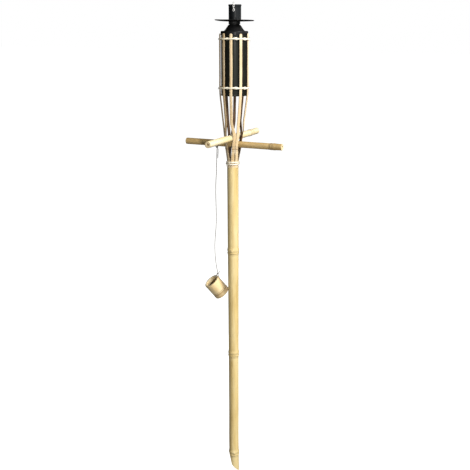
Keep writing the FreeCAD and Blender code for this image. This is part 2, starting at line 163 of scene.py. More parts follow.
def lathe(name, outline, round_by, segments, warp=None):
    """A closed outline of (r, z) points turned about Z. warp moves each point."""
    outline = rounded_outline(outline, round_by)
    mesh_data = bmesh.new()
    rings = []
    for r, z in outline:
        if r < 1e-6:
            rings.append([mesh_data.verts.new((0, 0, z))])
        else:
            rings.append([mesh_data.verts.new(around(t) * r + Z * z) for t in full_turn(segments)])
    for ring, following in zip(rings, rings[1:] + rings[:1]):
        if len(ring) == 1 and len(following) == 1:
            continue
        for j in range(segments):
            k = (j + 1) % segments
            corners = [ring[j % len(ring)], ring[k % len(ring)]]
            corners += [following[k % len(following)], following[j % len(following)]]
            mesh_data.faces.new(list(dict.fromkeys(corners)))
    bmesh.ops.recalc_face_normals(mesh_data, faces=mesh_data.faces)
    mesh = bpy.data.meshes.new(name)
    mesh_data.to_mesh(mesh)
    mesh_data.free()
    mesh.polygons.foreach_set("use_smooth", [True] * len(mesh.polygons))
    sharpen(mesh)
    if warp:
        for vertex in mesh.vertices:
            vertex.co = warp(vertex.co)
    return mesh


def frames_along(points, closed=False):
    """Each point's (tangent, normal, binormal), with as little twist as can be."""
    points = [Vector(p) for p in points]
    count = len(points)
    tangents = []
    for i in range(count):
        ahead = points[(i + 1) % count] if closed or i + 1 < count else points[i]
        back = points[i - 1] if closed or i > 0 else points[i]
        tangents.append((ahead - back).normalized())
    normal = tangents[0].orthogonal().normalized()
    frames = []
    for tangent in tangents:
        normal = (normal - tangent * normal.dot(tangent)).normalized()
        frames.append((tangent, normal, tangent.cross(normal)))
    return points, frames


def tube(points, radius, sides=10, closed=False, flat=1.0, up=None, taper=None):
    """Vertices and faces of a tube. With up, its section is flat times as thick across up."""
    points, frames = frames_along(points, closed)
    vertices = []
    for i, (point, (tangent, normal, binormal)) in enumerate(zip(points, frames)):
        if up is not None:
            binormal = (up - tangent * up.dot(tangent)).normalized()
            normal = binormal.cross(tangent)
        size = radius * (taper(i / (len(points) - 1)) if taper else 1)
        for t in full_turn(sides):
            across = normal * (math.cos(t) * flat) + binormal * math.sin(t)
            vertices.append(point + across * size)
    faces = grid_faces(len(points), sides, wrap_rows=closed)
    if not closed:
        faces += end_faces(vertices, sides)
    return vertices, faces


def run_along(points):
    """How far along the line each of its points is."""
    run = [0.0]
    for a, b in zip(points, points[1:]):
        run.append(run[-1] + (b - a).length)
    return run


def twisted(points, radius, pitch, plies=2, closed=False, sides=8):
    """Plies of round yarn twisted about a line of closely spaced points."""
    points, frames = frames_along(points, closed)
    run = run_along(points)
    total = run[-1] + ((points[0] - points[-1]).length if closed else 0)
    turns = max(1, round(total / pitch))
    parts = []
    for ply in range(plies):
        line = []
        for point, (_, normal, binormal), s in zip(points, frames, run):
            angle = 2 * math.pi * (turns * s / total + ply / plies)
            line.append(point + (normal * math.cos(angle) + binormal * math.sin(angle)) * radius * 0.5)
        parts.append(tube(line, radius * 0.56, sides, closed))
    return parts


def join_parts(parts):
    vertices, faces = [], []
    for part_vertices, part_faces in parts:
        start = len(vertices)
        vertices += part_vertices
        faces += [tuple(i + start for i in face) for face in part_faces]
    return vertices, faces


def smooth_line(points, closed=False, count=24):
    """Points along the NURBS line that has these control points."""
    curve = bpy.data.curves.new("line", "CURVE")
    curve.dimensions = "3D"
    spline = curve.splines.new("NURBS")
    spline.points.add(len(points) - 1)
    for knot, point in zip(spline.points, points):
        knot.co = (*point, 1)
    spline.order_u = 3
    spline.use_cyclic_u = closed
    spline.use_endpoint_u = not closed
    spline.resolution_u = count
    holder = bpy.data.objects.new("line", curve)
    scene.collection.objects.link(holder)
    bpy.context.view_layer.update()
    mesh = bpy.data.meshes.new_from_object(holder)
    line = [vertex.co.copy() for vertex in mesh.vertices]
    bpy.data.objects.remove(holder)
    bpy.data.curves.remove(curve)
    bpy.data.meshes.remove(mesh)
    return line


def even_line(points, spacing, closed=False):
    """The same line with its points evenly spaced."""
    points = [Vector(p) for p in points] + ([Vector(points[0])] if closed else [])
    run = run_along(points)
    count = max(2, int(run[-1] / spacing))
    places = np.linspace(0, run[-1], count + 1)
    if closed:
        places = places[:-1]
    columns = [np.interp(places, run, [p[k] for p in points]) for k in range(3)]
    return [Vector(p) for p in zip(*columns)]


def knot_line(centre, size, along=Z):
    """A small overhand knot: a trefoil whose middle is at centre."""
    turn = Z.rotation_difference(along)
    line = []
    for t in full_turn(72):
        p = Vector((math.sin(t) + 2 * math.sin(2 * t), math.cos(t) - 2 * math.cos(2 * t), -math.sin(3 * t)))
        p.z *= 1.3
        line.append(Vector(centre) + turn @ (p * size / 3))
    return line


def stations(table, z):
    """Smooth values between the rows of a table whose first column is the height."""
    heights = [row[0] for row in table]
    result = []
    for column in range(1, len(table[0])):
        values = [row[column] for row in table]
        slopes = np.gradient(values, heights)
        i = int(np.clip(np.searchsorted(heights, z) - 1, 0, len(heights) - 2))
        span = heights[i + 1] - heights[i]
        t = min(1.0, max(0.0, (z - heights[i]) / span))
        a, b = values[i], values[i + 1]
        low, high = slopes[i] * span, slopes[i + 1] * span
        result.append(
            a * (2 * t**3 - 3 * t**2 + 1) + low * (t**3 - 2 * t**2 + t)
            + b * (3 * t**2 - 2 * t**3) + high * (t**3 - t**2)
        )
    return result


def cut_mesh(mesh, cutters):
    """The mesh less each cutter mesh."""
    target = bpy.data.objects.new("target", mesh)
    holders = [target]
    for cutter_mesh in cutters:
        cutter = bpy.data.objects.new("cutter", cutter_mesh)
        holders.append(cutter)
        cut = target.modifiers.new("cut", "BOOLEAN")
        cut.operation = "DIFFERENCE"
        cut.solver = "EXACT"
        cut.object = cutter
    for holder in holders:
        scene.collection.objects.link(holder)
    bpy.context.view_layer.update()
    evaluated = target.evaluated_get(bpy.context.evaluated_depsgraph_get())
    result = bpy.data.meshes.new_from_object(evaluated)
    for holder in holders:
        bpy.data.objects.remove(holder)
    return result


# ---------------------------------------------------------------- material tools


def srgb(text):
    """The linear colour of an sRGB hex code."""
    values = [int(text[i:i + 2], 16) / 255 for i in (0, 2, 4)]
    return tuple(v / 12.92 if v <= 0.04045 else ((v + 0.055) / 1.055) ** 2.4 for v in values) + (1.0,)


def colours(text):
    return [srgb(code) for code in text.split()]


class Shader:
    """A material's node tree, with a Principled shader at its end."""

    def __init__(self, name, roughness=0.5, **settings):
        self.material = bpy.data.materials.new(name)
        self.material.use_nodes = True
        self.tree = self.material.node_tree
        self.end = self.tree.nodes["Principled BSDF"]
        self.end.inputs["Roughness"].default_value = roughness
        for key, value in settings.items():
            self.end.inputs[key.replace("_", " ")].default_value = value

    def node(self, kind, **inputs):
        node = self.tree.nodes.new("ShaderNode" + kind)
        for key, value in inputs.items():
            self.put(node.inputs[key.replace("_", " ")], value)
        return node

    def put(self, socket, value):
        if isinstance(value, bpy.types.NodeSocket):
            self.tree.links.new(value, socket)
        else:
            socket.default_value = value

    def attribute(self, name, output="Fac"):
        node = self.tree.nodes.new("ShaderNodeAttribute")
        node.attribute_name = name
        return node.outputs[output]

    def place(self):
        return self.node("TexCoord").outputs["Object"]

    def scaled(self, vector, x, y, z):
        return self.node("Mapping", Vector=vector, Scale=(x, y, z)).outputs["Vector"]

    def moved(self, vector, x, y, z):
        return self.node("Mapping", Vector=vector, Location=(x, y, z)).outputs["Vector"]

    def noise(self, vector, detail=3.0, rough=0.55):
        return self.node("TexNoise", Vector=vector, Scale=1.0, Detail=detail, Roughness=rough).outputs["Fac"]

    def ramp(self, factor, stops):
        node = self.node("ValToRGB", Fac=factor)
        ramp = node.color_ramp
        while len(ramp.elements) < len(stops):
            ramp.elements.new(0.5)
        for element, (position, colour) in zip(ramp.elements, stops):
            element.position = position
            element.color = colour if isinstance(colour, tuple) else (colour, colour, colour, 1.0)
        return node.outputs["Color"]

    def range(self, value, low, high, to_low=0.0, to_high=1.0):
        ends = {"From_Min": low, "From_Max": high, "To_Min": to_low, "To_Max": to_high}
        return self.node("MapRange", Value=value, **ends).outputs["Result"]

    def math(self, operation, a, b=0.5):
        node = self.tree.nodes.new("ShaderNodeMath")
        node.operation = operation
        self.put(node.inputs[0], a)
        self.put(node.inputs[1], b)
        return node.outputs[0]

    def mix(self, factor, a, b):
        node = self.tree.nodes.new("ShaderNodeMix")
        node.data_type = "RGBA"
        self.put(node.inputs[0], factor)
        self.put(node.inputs[6], a)
        self.put(node.inputs[7], b)
        return node.outputs[2]

    def bump(self, height, strength, distance, normal=None):
        node = self.node("Bump", Height=height, Strength=strength, Distance=distance)
        if normal is not None:
            self.put(node.inputs["Normal"], normal)
        return node.outputs["Normal"]

    def finish(self, colour, roughness=None, normal=None):
        for name, value in (("Base Color", colour), ("Roughness", roughness), ("Normal", normal)):
            if value is not None:
                self.put(self.end.inputs[name], value)
        return self.material


def bamboo_skin(name, codes, gloss=0.38, stain_amount=0.5, scars=1.0, seed=0.0):
    """The waxy outside of bamboo: long streaks, blotches, freckles and marked joints."""
    pale, mid, dark, stain = colours(codes)
    s = Shader(name, gloss, Coat_Weight=0.05, Specular_IOR_Level=0.3, Coat_Roughness=0.25)
    grain = s.moved(s.attribute("grain", "Vector"), seed, seed * 0.7, seed * 1.3)
    broad = s.noise(s.scaled(grain, 60, 60, 9), 3.0)
    streaks = s.noise(s.scaled(grain, 420, 420, 7), 4.0, 0.65)
    fibres = s.noise(s.scaled(grain, 2300, 2300, 24), 3.0, 0.6)
    specks = s.noise(s.scaled(grain, 700, 700, 260), 2.0)
    tone = s.math("ADD", s.math("MULTIPLY", broad, 0.6), s.math("MULTIPLY", streaks, 0.4))
    colour = s.ramp(tone, [(0.33, dark), (0.47, mid), (0.62, pale)])
    colour = s.mix(s.ramp(streaks, [(0.52, 0.0), (0.72, stain_amount)]), colour, stain)
    colour = s.mix(s.ramp(fibres, [(0.38, 0.16), (0.55, 0.0)]), colour, stain)
    colour = s.mix(s.ramp(specks, [(0.66, 0.0), (0.74, 0.45)]), colour, stain)
    near = s.range(s.attribute("ring"), -0.03, 0.03)
    scar = [(0, 0.0), (0.34, 0.0), (0.355, 0.75), (0.375, 0.25), (0.43, 0.65), (0.5, 0.3), (0.8, 0.0)]
    colour = s.mix(s.math("MULTIPLY", s.ramp(near, scar), scars), colour, stain)
    wax = [(0.18, 0.0), (0.27, 0.3), (0.335, 0.4), (0.35, 0.0), (0.385, 0.7), (0.41, 0.0)]
    wax += [(0.5, 0.25), (0.6, 0.0)]
    colour = s.mix(s.ramp(near, wax), colour, pale)
    height = s.math("ADD", s.math("MULTIPLY", fibres, 0.4), s.math("MULTIPLY", streaks, 0.6))
    gloss_range = s.range(streaks, 0.3, 0.7, gloss - 0.06, gloss + 0.14)
    return s.finish(colour, gloss_range, s.bump(height, 0.35, 0.0003))


def bamboo_wood(name, codes, rough=0.75, seed=0.0):
    """Split or inner faces of bamboo: coarse lengthwise fibres."""
    pale, mid, dark = colours(codes)
    s = Shader(name, rough)
    grain = s.moved(s.attribute("grain", "Vector"), seed, seed * 0.7, seed * 1.3)
    streaks = s.noise(s.scaled(grain, 900, 900, 14), 4.0, 0.7)
    fibres = s.noise(s.scaled(grain, 2600, 2600, 30), 3.0, 0.7)
    broad = s.noise(s.scaled(grain, 80, 80, 20), 2.0)
    tone = s.math("ADD", s.math("MULTIPLY", streaks, 0.5), s.math("MULTIPLY", broad, 0.5))
    colour = s.ramp(tone, [(0.36, dark), (0.5, mid), (0.64, pale)])
    colour = s.mix(s.ramp(fibres, [(0.36, 0.5), (0.5, 0.0)]), colour, dark)
    normal = s.bump(fibres, 0.6, 0.0005, s.bump(streaks, 0.5, 0.0006))
    return s.finish(colour, s.range(fibres, 0.3, 0.7, rough - 0.1, rough + 0.15), normal)


def bamboo_end(name, codes):
    """Cut ends of bamboo: dots of the fibre bundles, and a darker rim at the skin."""
    pale, mid, dot, rim = colours(codes)
    s = Shader(name, 0.8)
    grain = s.attribute("grain", "Vector")
    cells = s.node("TexVoronoi", Vector=s.scaled(grain, 1500, 1500, 40), Scale=1.0)
    dots = s.ramp(cells.outputs["Distance"], [(0.16, 1.0), (0.32, 0.0)])
    saw = s.noise(s.scaled(grain, 500, 2600, 300), 3.0)
    colour = s.ramp(saw, [(0.35, mid), (0.6, pale)])
    colour = s.mix(s.math("MULTIPLY", dots, 0.55), colour, dot)
    colour = s.mix(s.ramp(s.attribute("skin"), [(0.55, 0.0), (0.97, 0.75)]), colour, rim)
    normal = s.bump(dots, 0.35, 0.0003, s.bump(saw, 0.5, 0.0004))
    return s.finish(colour, s.range(saw, 0.3, 0.7, 0.68, 0.92), normal)


def painted(name, codes, roughness, coat, seed=0.0):
    """Satin paint on thin sheet steel, with faint runs, dust and worn edges."""
    colour, worn, dust = colours(codes)
    s = Shader(name, roughness, Coat_Weight=coat, Specular_IOR_Level=0.2, Coat_Roughness=0.18)
    place = s.moved(s.place(), seed, seed * 0.6, seed * 1.7)
    cloud = s.noise(s.scaled(place, 45, 45, 30), 4.0)
    peel = s.noise(s.scaled(place, 900, 900, 900), 2.0)
    runs = s.noise(s.scaled(place, 260, 260, 12), 3.0, 0.6)
    shade = s.mix(s.ramp(cloud, [(0.35, 0.0), (0.7, 1.0)]), colour, dust)
    shade = s.mix(s.ramp(runs, [(0.6, 0.0), (0.8, 0.35)]), shade, dust)
    edges = s.node("NewGeometry").outputs["Pointiness"]
    worn_off = s.ramp(peel, [(0.45, 0.0), (0.6, 1.0)])
    chips = s.math("MULTIPLY", s.ramp(edges, [(0.54, 0.0), (0.62, 1.0)]), worn_off)
    shade = s.mix(s.math("MULTIPLY", chips, 0.5), shade, worn)
    normal = s.bump(peel, 0.12, 0.0002, s.bump(cloud, 0.2, 0.0008))
    return s.finish(shade, s.range(cloud, 0.3, 0.7, roughness - 0.05, roughness + 0.15), normal)


def painted_glint_wire(name):
    # Painted highlight: a near-white, mostly diffuse colour stands in for the glints of the chain's bright
    # steel.
    s = Shader(name, 0.3, Metallic=0.25)
    marks = s.noise(s.scaled(s.place(), 1400, 1400, 1400), 3.0)
    shade = s.ramp(marks, list(zip((0.3, 0.5, 0.7), colours("c4c3bf f4f4f2 ffffff"))))
    return s.finish(shade, s.range(marks, 0.3, 0.7, 0.2, 0.42), s.bump(marks, 0.2, 0.0001))


def yarn(name, codes):
    """Spun fibre: soft and matt, with lint and soil."""
    pale, mid, dark = colours(codes)
    s = Shader(name, 0.9, Sheen_Weight=0.3, Sheen_Roughness=0.5)
    place = s.place()
    lint = s.noise(s.scaled(place, 3200, 3200, 1100), 3.0, 0.7)
    soil = s.noise(s.scaled(place, 160, 160, 50), 3.0)
    shade = s.ramp(lint, [(0.32, dark), (0.5, mid), (0.64, pale)])
    shade = s.mix(s.ramp(soil, [(0.5, 0.0), (0.75, 0.45)]), shade, dark)
    return s.finish(shade, s.range(lint, 0.3, 0.7, 0.82, 0.98), s.bump(lint, 0.6, 0.0003))


def cane_skin(name):
    """Peeled cane: glossy cream with fine lengthwise lines."""
    s = Shader(name, 0.42)
    grain = s.attribute("grain", "Vector")
    lines = s.noise(s.scaled(grain, 2400, 2400, 30), 3.0, 0.6)
    soil = s.noise(s.scaled(grain, 130, 130, 40), 3.0)
    shade = s.ramp(lines, list(zip((0.34, 0.5, 0.66), colours("efe3bf fbf5e0 fffdf4"))))
    shade = s.mix(s.ramp(soil, [(0.55, 0.0), (0.78, 0.35)]), shade, srgb("c2a56e"))
    return s.finish(shade, s.range(lines, 0.3, 0.7, 0.36, 0.55), s.bump(lines, 0.4, 0.0002))


# ---------------------------------------------------------------- materials

CULM_SKIN = bamboo_skin("culm_skin", "f4e2ac e8cf8f cdb06f 84693a", stain_amount=0.32, scars=0.45)
STRIP_SKIN = bamboo_skin("strip_skin", "f7e8c8 ebd3aa d3b583 94713e", 0.42, 0.3, seed=3.1)
# Painted shade: the strips' inner faces are coloured dark brown for the shade that falls on them inside the
# basket; the same inner wall is pale in the bores.
STRIP_INSIDE_PAINTED_SHADE = bamboo_wood("strip_inside", "7c6040 573f28 332313", seed=1.7)
# Painted shade: the strips' cut sides are coloured dark brown for the shade they fall in beside the lit outer
# skin.
STRIP_SIDE_PAINTED_SHADE = bamboo_wood("strip_side", "8a6f44 644c2c 3a2916", seed=5.2)
LOWER_SKIN = bamboo_skin("lower_bar_skin", "e3c993 cdae74 a88952 5e482c", 0.5, 0.55, seed=7.7)
UPPER_SKIN = bamboo_skin("upper_bar_skin", "fdf2d2 f5e2b0 dcc086 94743f", 0.4, 0.3, seed=11.3)
CUT_END = bamboo_end("cut_end", "fff3d2 efd9a8 a37f4a c9a566")
BORE = bamboo_wood("bore", "f3e4bf dcc494 a98a58", rough=0.85, seed=9.1)
CUP_SKIN = bamboo_skin("cup_skin", "fdeec6 f8e0ab e8c78a 9a7440", 0.4, 0.22, seed=13.9)
CANE = cane_skin("cane")
TIN_PAINT = painted("tin_paint", "171a14 5a5a52 1f211a", 0.55, coat=0.03)
# Painted shade: a near-black copy of the tin's paint for the shoulder and filler neck, for the shade under
# the flame guard.
SHADED_CONE_PAINT = painted("cone_paint", "0c0c0c 4a4a48 171819", 0.5, coat=0.05, seed=1.1)
BURNER_PAINT = painted("burner_paint", "0e0f0f 5a5a56 1c1d1d", 0.5, coat=0.05, seed=2.3)
CAP_PAINT = painted("cap_paint", "0f1214 6a6c6c 171c20", 0.5, coat=0.02, seed=4.9)
CHAIN_PAINTED_GLINT = painted_glint_wire("chain_wire")
STRING_YARN = yarn("string_yarn", "a9a499 8d887d 625d54")

# ---------------------------------------------------------------- string


def make_string():
    line = even_line(smooth_line(STRING_ROUTE), 0.6 * MM)
    vertices, faces = join_parts(twisted(line, STRING_R, 4.2 * MM))
    mesh = build_mesh("string_line", vertices, faces)
    piece = new_object("string_line", mesh, [STRING_YARN], "string", "string_cotton", "string")


make_string()

# ---------------------------------------------------------------- how the culm is bent

CROOK = [
    (-1.0, 1.6), (25.0, 1.4), (60.0, 0.6), (195.0, 0.2), (466.0, -0.8), (722.0, -1.8),
    (806.0, -2.1), (868.0, -0.8), (980.0, 1.2), (1130.0, 1.4), (1200.0, 1.4),
]
TIN_SHIFT = SIDEWAYS * 1.7 * MM
WALL_SHIFT = SIDEWAYS * 1.3 * MM
CAP_SHIFT = SIDEWAYS * 2.8 * MM


def crook(z):
    """How far the torch's frame strays sideways at a height: no culm is quite straight."""
    return SIDEWAYS * stations(CROOK, z / MM)[0] * MM


# ---------------------------------------------------------------- culm

JOINTS = [49.0, 323.5, 592.5]
STRIP_JOINT = 854.0
CULM_PROFILE = [
    (0.0, 12.2), (33.0, 12.2), (62.0, 12.35), (180.0, 12.35), (307.0, 12.55), (336.0, 12.7),
    (372.0, 12.7), (376.0, 13.0), (448.0, 13.0), (576.0, 13.4), (605.0, 13.6), (804.0, 13.75),
]
CULM_TOP, CULM_TOP_R = 804.0, 13.75
BORE_RADII = [6.0, 8.6, 9.4, 9.8]


def joint_relief(from_joint):
    """How far a joint stands out at a distance above it, both in mm."""
    scar = 1.25 * math.exp(-((from_joint + 3.6) / 0.75) ** 4)
    sheath = 0.45 * math.exp(-((from_joint + 5.5) / 2.6) ** 2)
    ridge = 1.25 * math.exp(-((from_joint - 3.9) / 4.4) ** 2)
    return scar + sheath + ridge


def bud(from_joint, degrees, at):
    """The bud's scar above one side of a joint, and the shallow groove that it leaves."""
    aside = (degrees - at + 180) % 360 - 180
    swelling = 1.1 * math.exp(-((from_joint - 1.0) / 3.2) ** 2 - (aside / 11) ** 2)
    groove = 0.7 * math.exp(-(aside / 26) ** 2) * (1 / (1 + math.exp(-(from_joint - 7) / 2.5)))
    return swelling - groove * math.exp(-max(0.0, from_joint) / 55)


BUDS = [300.0, 118.0, 282.0]


def make_culm():
    heights = list(np.arange(0.0, CULM_TOP, 3.0)) + [CULM_TOP]
    for joint in JOINTS:
        heights += list(joint + np.arange(-9.0, 14.0, 0.4))
    heights = sorted({round(float(h), 2) for h in heights})
    heights = [h for h in heights if not any(0 < o - h < 0.35 for o in heights)]
    sides = 96
    vertices, grain, rings = [], [], []
    for h in heights:
        base = np.interp(h, [r[0] for r in CULM_PROFILE], [r[1] for r in CULM_PROFILE])
        nearest = min(JOINTS + [STRIP_JOINT], key=lambda joint: abs(joint - h))
        centre = crook(h * MM)
        for k in range(sides):
            degrees = 360 * k / sides
            angle = math.radians(degrees)
            radius = base + joint_relief(h - nearest)
            for joint, at in zip(JOINTS, BUDS):
                radius += bud(h - joint, degrees, at) if -12 < h - joint < 150 else 0
            direction = around(angle)
            wave = noise.noise(Vector((direction.x * 1.3, direction.y * 1.3, h / 90)))
            radius += 0.14 * wave + 0.06 * math.cos(2 * angle + h / 140)
            wobble = 0.5 * noise.noise(Vector((direction.x * 2, direction.y * 2, nearest)))
            vertices.append(direction * radius * MM + centre + Z * h * MM)
            grain.append(direction * base * MM + Z * h * MM)
            rings.append((h - nearest + wobble) * MM)
    faces = grid_faces(len(heights), sides) + end_faces(vertices, sides)
    mesh = build_mesh("culm_skin", vertices, faces)
    mesh.polygons[-1].material_index = 1
    dress(mesh, CULM_SKIN, CUT_END, BORE)
    mark(mesh, grain=grain, ring=rings)
    cutters = [stake_cutter(), bore_cutter(-3.0, JOINTS[0] - 2.0, BORE_RADII[0])]
    cutters.append(bore_cutter(JOINTS[-1] + 2.0, CULM_TOP + 2, BORE_RADII[-1]))
    result = cut_mesh(mesh, cutters)
    finish_cut(result)
    new_object("culm_pole", result, [], "torch_frame", "culm_bamboo", "culm")


def stake_cutter():
    """A block that pares one side of the stake down to its point."""
    line = [(20.2, 80.0), (11.0, 38.0), (6.6, 18.0), (-11.6, 0.0), (-14.0, -2.4)]
    outline = line + [(-14.0, -60.0), (60.0, -60.0), (60.0, 80.0)]
    lean = Matrix.Rotation(math.radians(207), 3, "Z")
    vertices = []
    for y in (-60.0, 60.0):
        vertices += [lean @ Vector((x * MM, y * MM, z * MM)) + crook(0.02) for x, z in outline]
    count = len(outline)
    faces = [tuple(range(count)), tuple(range(2 * count - 1, count - 1, -1))]
    faces += [(i, i + count, (i + 1) % count + count, (i + 1) % count) for i in range(count)]
    mesh = build_mesh("stake_cutter", vertices, faces, [1] * (count + 2), smooth=False)
    dress(mesh, CULM_SKIN, CUT_END, BORE)
    return fixed_normals(mesh)


def bore_cutter(low, high, radius):
    sides = 48
    vertices = []
    for h in np.linspace(low, high, 12):
        centre = crook(h * MM)
        vertices += [around(t) * radius * MM + centre + Z * h * MM for t in full_turn(sides)]
    faces = grid_faces(12, sides) + end_faces(vertices, sides)
    mesh = build_mesh("bore_cutter", vertices, faces, [2] * len(faces))
    dress(mesh, CULM_SKIN, CUT_END, BORE)
    return fixed_normals(mesh)


def fixed_normals(mesh):
    work = bmesh.new()
    work.from_mesh(mesh)
    bmesh.ops.recalc_face_normals(work, faces=work.faces)
    work.to_mesh(mesh)
    work.free()
    return mesh


def finish_cut(mesh):
    """After a cut, gives every point its grain and says how near it is to the skin."""
    grain = [vertex.co.copy() for vertex in mesh.vertices]
    for name in ("grain", "skin"):
        if name in mesh.attributes:
            mesh.attributes.remove(mesh.attributes[name])
    mark(mesh, grain=grain, skin=[min(1.0, (g.xy - crook(g.z).xy).length / (13.0 * MM)) for g in grain])
    sharpen(mesh, 30)


make_culm()

# ---------------------------------------------------------------- strips of the basket

STRIP_STATIONS = [
    (804.0, 13.75, 5.15, 2.9), (812.0, 13.75, 4.9, 2.9), (822.0, 14.7, 4.45, 2.9), (833.0, 16.4, 4.1, 2.8),
    (846.0, 18.5, 3.85, 2.8), (860.4, 20.4, 3.7, 2.8), (876.2, 22.6, 3.65, 2.8),
    (892.0, 24.7, 3.65, 2.8), (906.0, 26.6, 3.6, 2.8), (918.0, 28.2, 3.55, 2.8), (935.0, 30.4, 3.5, 2.8),
    (954.0, 32.8, 3.45, 2.8), (966.0, 34.4, 3.45, 2.8), (980.0, 36.0, 3.4, 2.8), (993.0, 36.6, 3.4, 2.8),
    (1025.0, 36.7, 3.4, 2.8), (1070.0, 36.7, 3.4, 2.8), (1111.0, 36.5, 3.35, 2.7), (1122.5, 36.2, 3.3, 2.2),
]
STRIP_TURNS = [
    (22.5, 38.4, 35.2, 2.5), (67.5, 61.2, 55.6, 80.5),
    (112.5, 118.8, 124.4, 114.5), (157.5, 141.6, 144.8, 150.5),
    (202.5, 218.4, 215.2, 222.0), (247.5, 241.2, 235.6, 252.5),
    (292.5, 298.8, 304.4, 284.5), (337.5, 321.6, 324.8, 322.5),
]
LOWER_BAR_Z = 860.4
UPPER_BAR_Z = 876.2
STRIP_TOP = 1122.5
STRIP_FOOT = 815.0
BASKET_FROM = 918.0


def eased(low, high, share):
    share = min(1.0, max(0.0, share))
    return low + (high - low) * share * share * (3 - 2 * share)


def strip_direction(turns, h):
    """A strip's direction at a height: it steers round each bar, then spreads out."""
    root, at_lower, at_upper, basket = turns
    if h <= LOWER_BAR_Z:
        return eased(root, at_lower, (h - STRIP_FOOT) / (LOWER_BAR_Z - STRIP_FOOT))
    if h <= UPPER_BAR_Z:
        return at_lower + (at_upper - at_lower) * (h - LOWER_BAR_Z) / (UPPER_BAR_Z - LOWER_BAR_Z)
    return eased(at_upper, basket, (h - UPPER_BAR_Z) / (BASKET_FROM - UPPER_BAR_Z))


OUTSIDE_POINTS = 11
INSIDE_POINTS = 7


def strip_section(half_width, thickness, relief):
    """(across, outwards) points round a strip: its curved skin, then its inner face."""
    points = []
    for k in range(OUTSIDE_POINTS):
        y = half_width * (2 * k / (OUTSIDE_POINTS - 1) - 1)
        edge = abs(y) / half_width
        sag = CULM_TOP_R - math.sqrt(max(0.0, CULM_TOP_R**2 - y * y))
        worn = 0.35 * max(0.0, edge - 0.82) / 0.18
        points.append((y * (0.985 if edge > 0.99 else 1), relief - sag - worn))
    for k in range(INSIDE_POINTS):
        y = half_width * (1 - 2 * k / (INSIDE_POINTS - 1)) * 0.93
        hollow = 0.3 * (1 - (y / half_width) ** 2)
        points.append((y, -thickness + hollow + (0.2 if abs(y) > 0.9 * half_width else 0)))
    return points


def make_strip(index, turns):
    heights = list(np.arange(STRIP_STATIONS[0][0], STRIP_TOP - 5, 2.4))
    heights += list(np.linspace(STRIP_TOP - 5, STRIP_TOP - 0.02, 12))
    heights += list(STRIP_JOINT + np.arange(-6, 9, 0.6))
    heights = sorted(heights)
    vertices, grain, rings = [], [], []
    tip = STRIP_TOP - (index * 37 % 5) * 0.35
    section_size = OUTSIDE_POINTS + INSIDE_POINTS
    for h in heights:
        height = min(h, tip - 0.01)
        radius, half_width, thickness = stations(STRIP_STATIONS, height)
        rounding = max(0.0, (height - (tip - half_width * 0.9)) / (half_width * 0.9))
        half_width *= math.sqrt(max(0.02, 1 - rounding**2))
        half_width += 0.16 * noise.noise(Vector((index * 7.3, 0.0, height / 17)))
        degrees = strip_direction(turns, height) + 0.5 * noise.noise(Vector((index * 3.1, 5.0, height / 60)))
        out = around(math.radians(degrees))
        side = Vector((-out.y, out.x, 0))
        from_joint = height - STRIP_JOINT
        relief = 0.55 * joint_relief(from_joint)
        septum = 0.8 * math.exp(-(from_joint / 2.2) ** 2)
        for y, depth in strip_section(half_width, thickness + septum, relief):
            place = out * (radius + depth) + side * y
            vertices.append(place * MM + crook(height * MM) + Z * height * MM)
            fibre = around(math.radians(turns[0]) + y / CULM_TOP_R) * (CULM_TOP_R + depth)
            grain.append((fibre + Z * height) * MM)
            rings.append(from_joint * MM)
    faces = grid_faces(len(heights), section_size)
    kinds = ([0] * (OUTSIDE_POINTS - 1) + [2] + [1] * (INSIDE_POINTS - 1) + [2]) * (len(heights) - 1)
    mesh = build_mesh("strip", vertices, faces + end_faces(vertices, section_size), kinds + [2, 2])
    mark(mesh, grain=grain, ring=rings)
    fixed_normals(mesh)
    sharpen(mesh, 40)
    node = "basket_strip_%d" % (index + 1)
    skins = [STRIP_SKIN, STRIP_INSIDE_PAINTED_SHADE, STRIP_SIDE_PAINTED_SHADE]
    new_object(node + "_split", mesh, skins, "torch_frame", "strip_bamboo", node)


for index, turns in enumerate(STRIP_TURNS):
    make_strip(index, turns)

# ---------------------------------------------------------------- crossbars

BAR_HALF, BAR_R, BAR_BORE_R = 129.2, 7.75, 3.2
BARS_MIDDLE_Z = 868.0


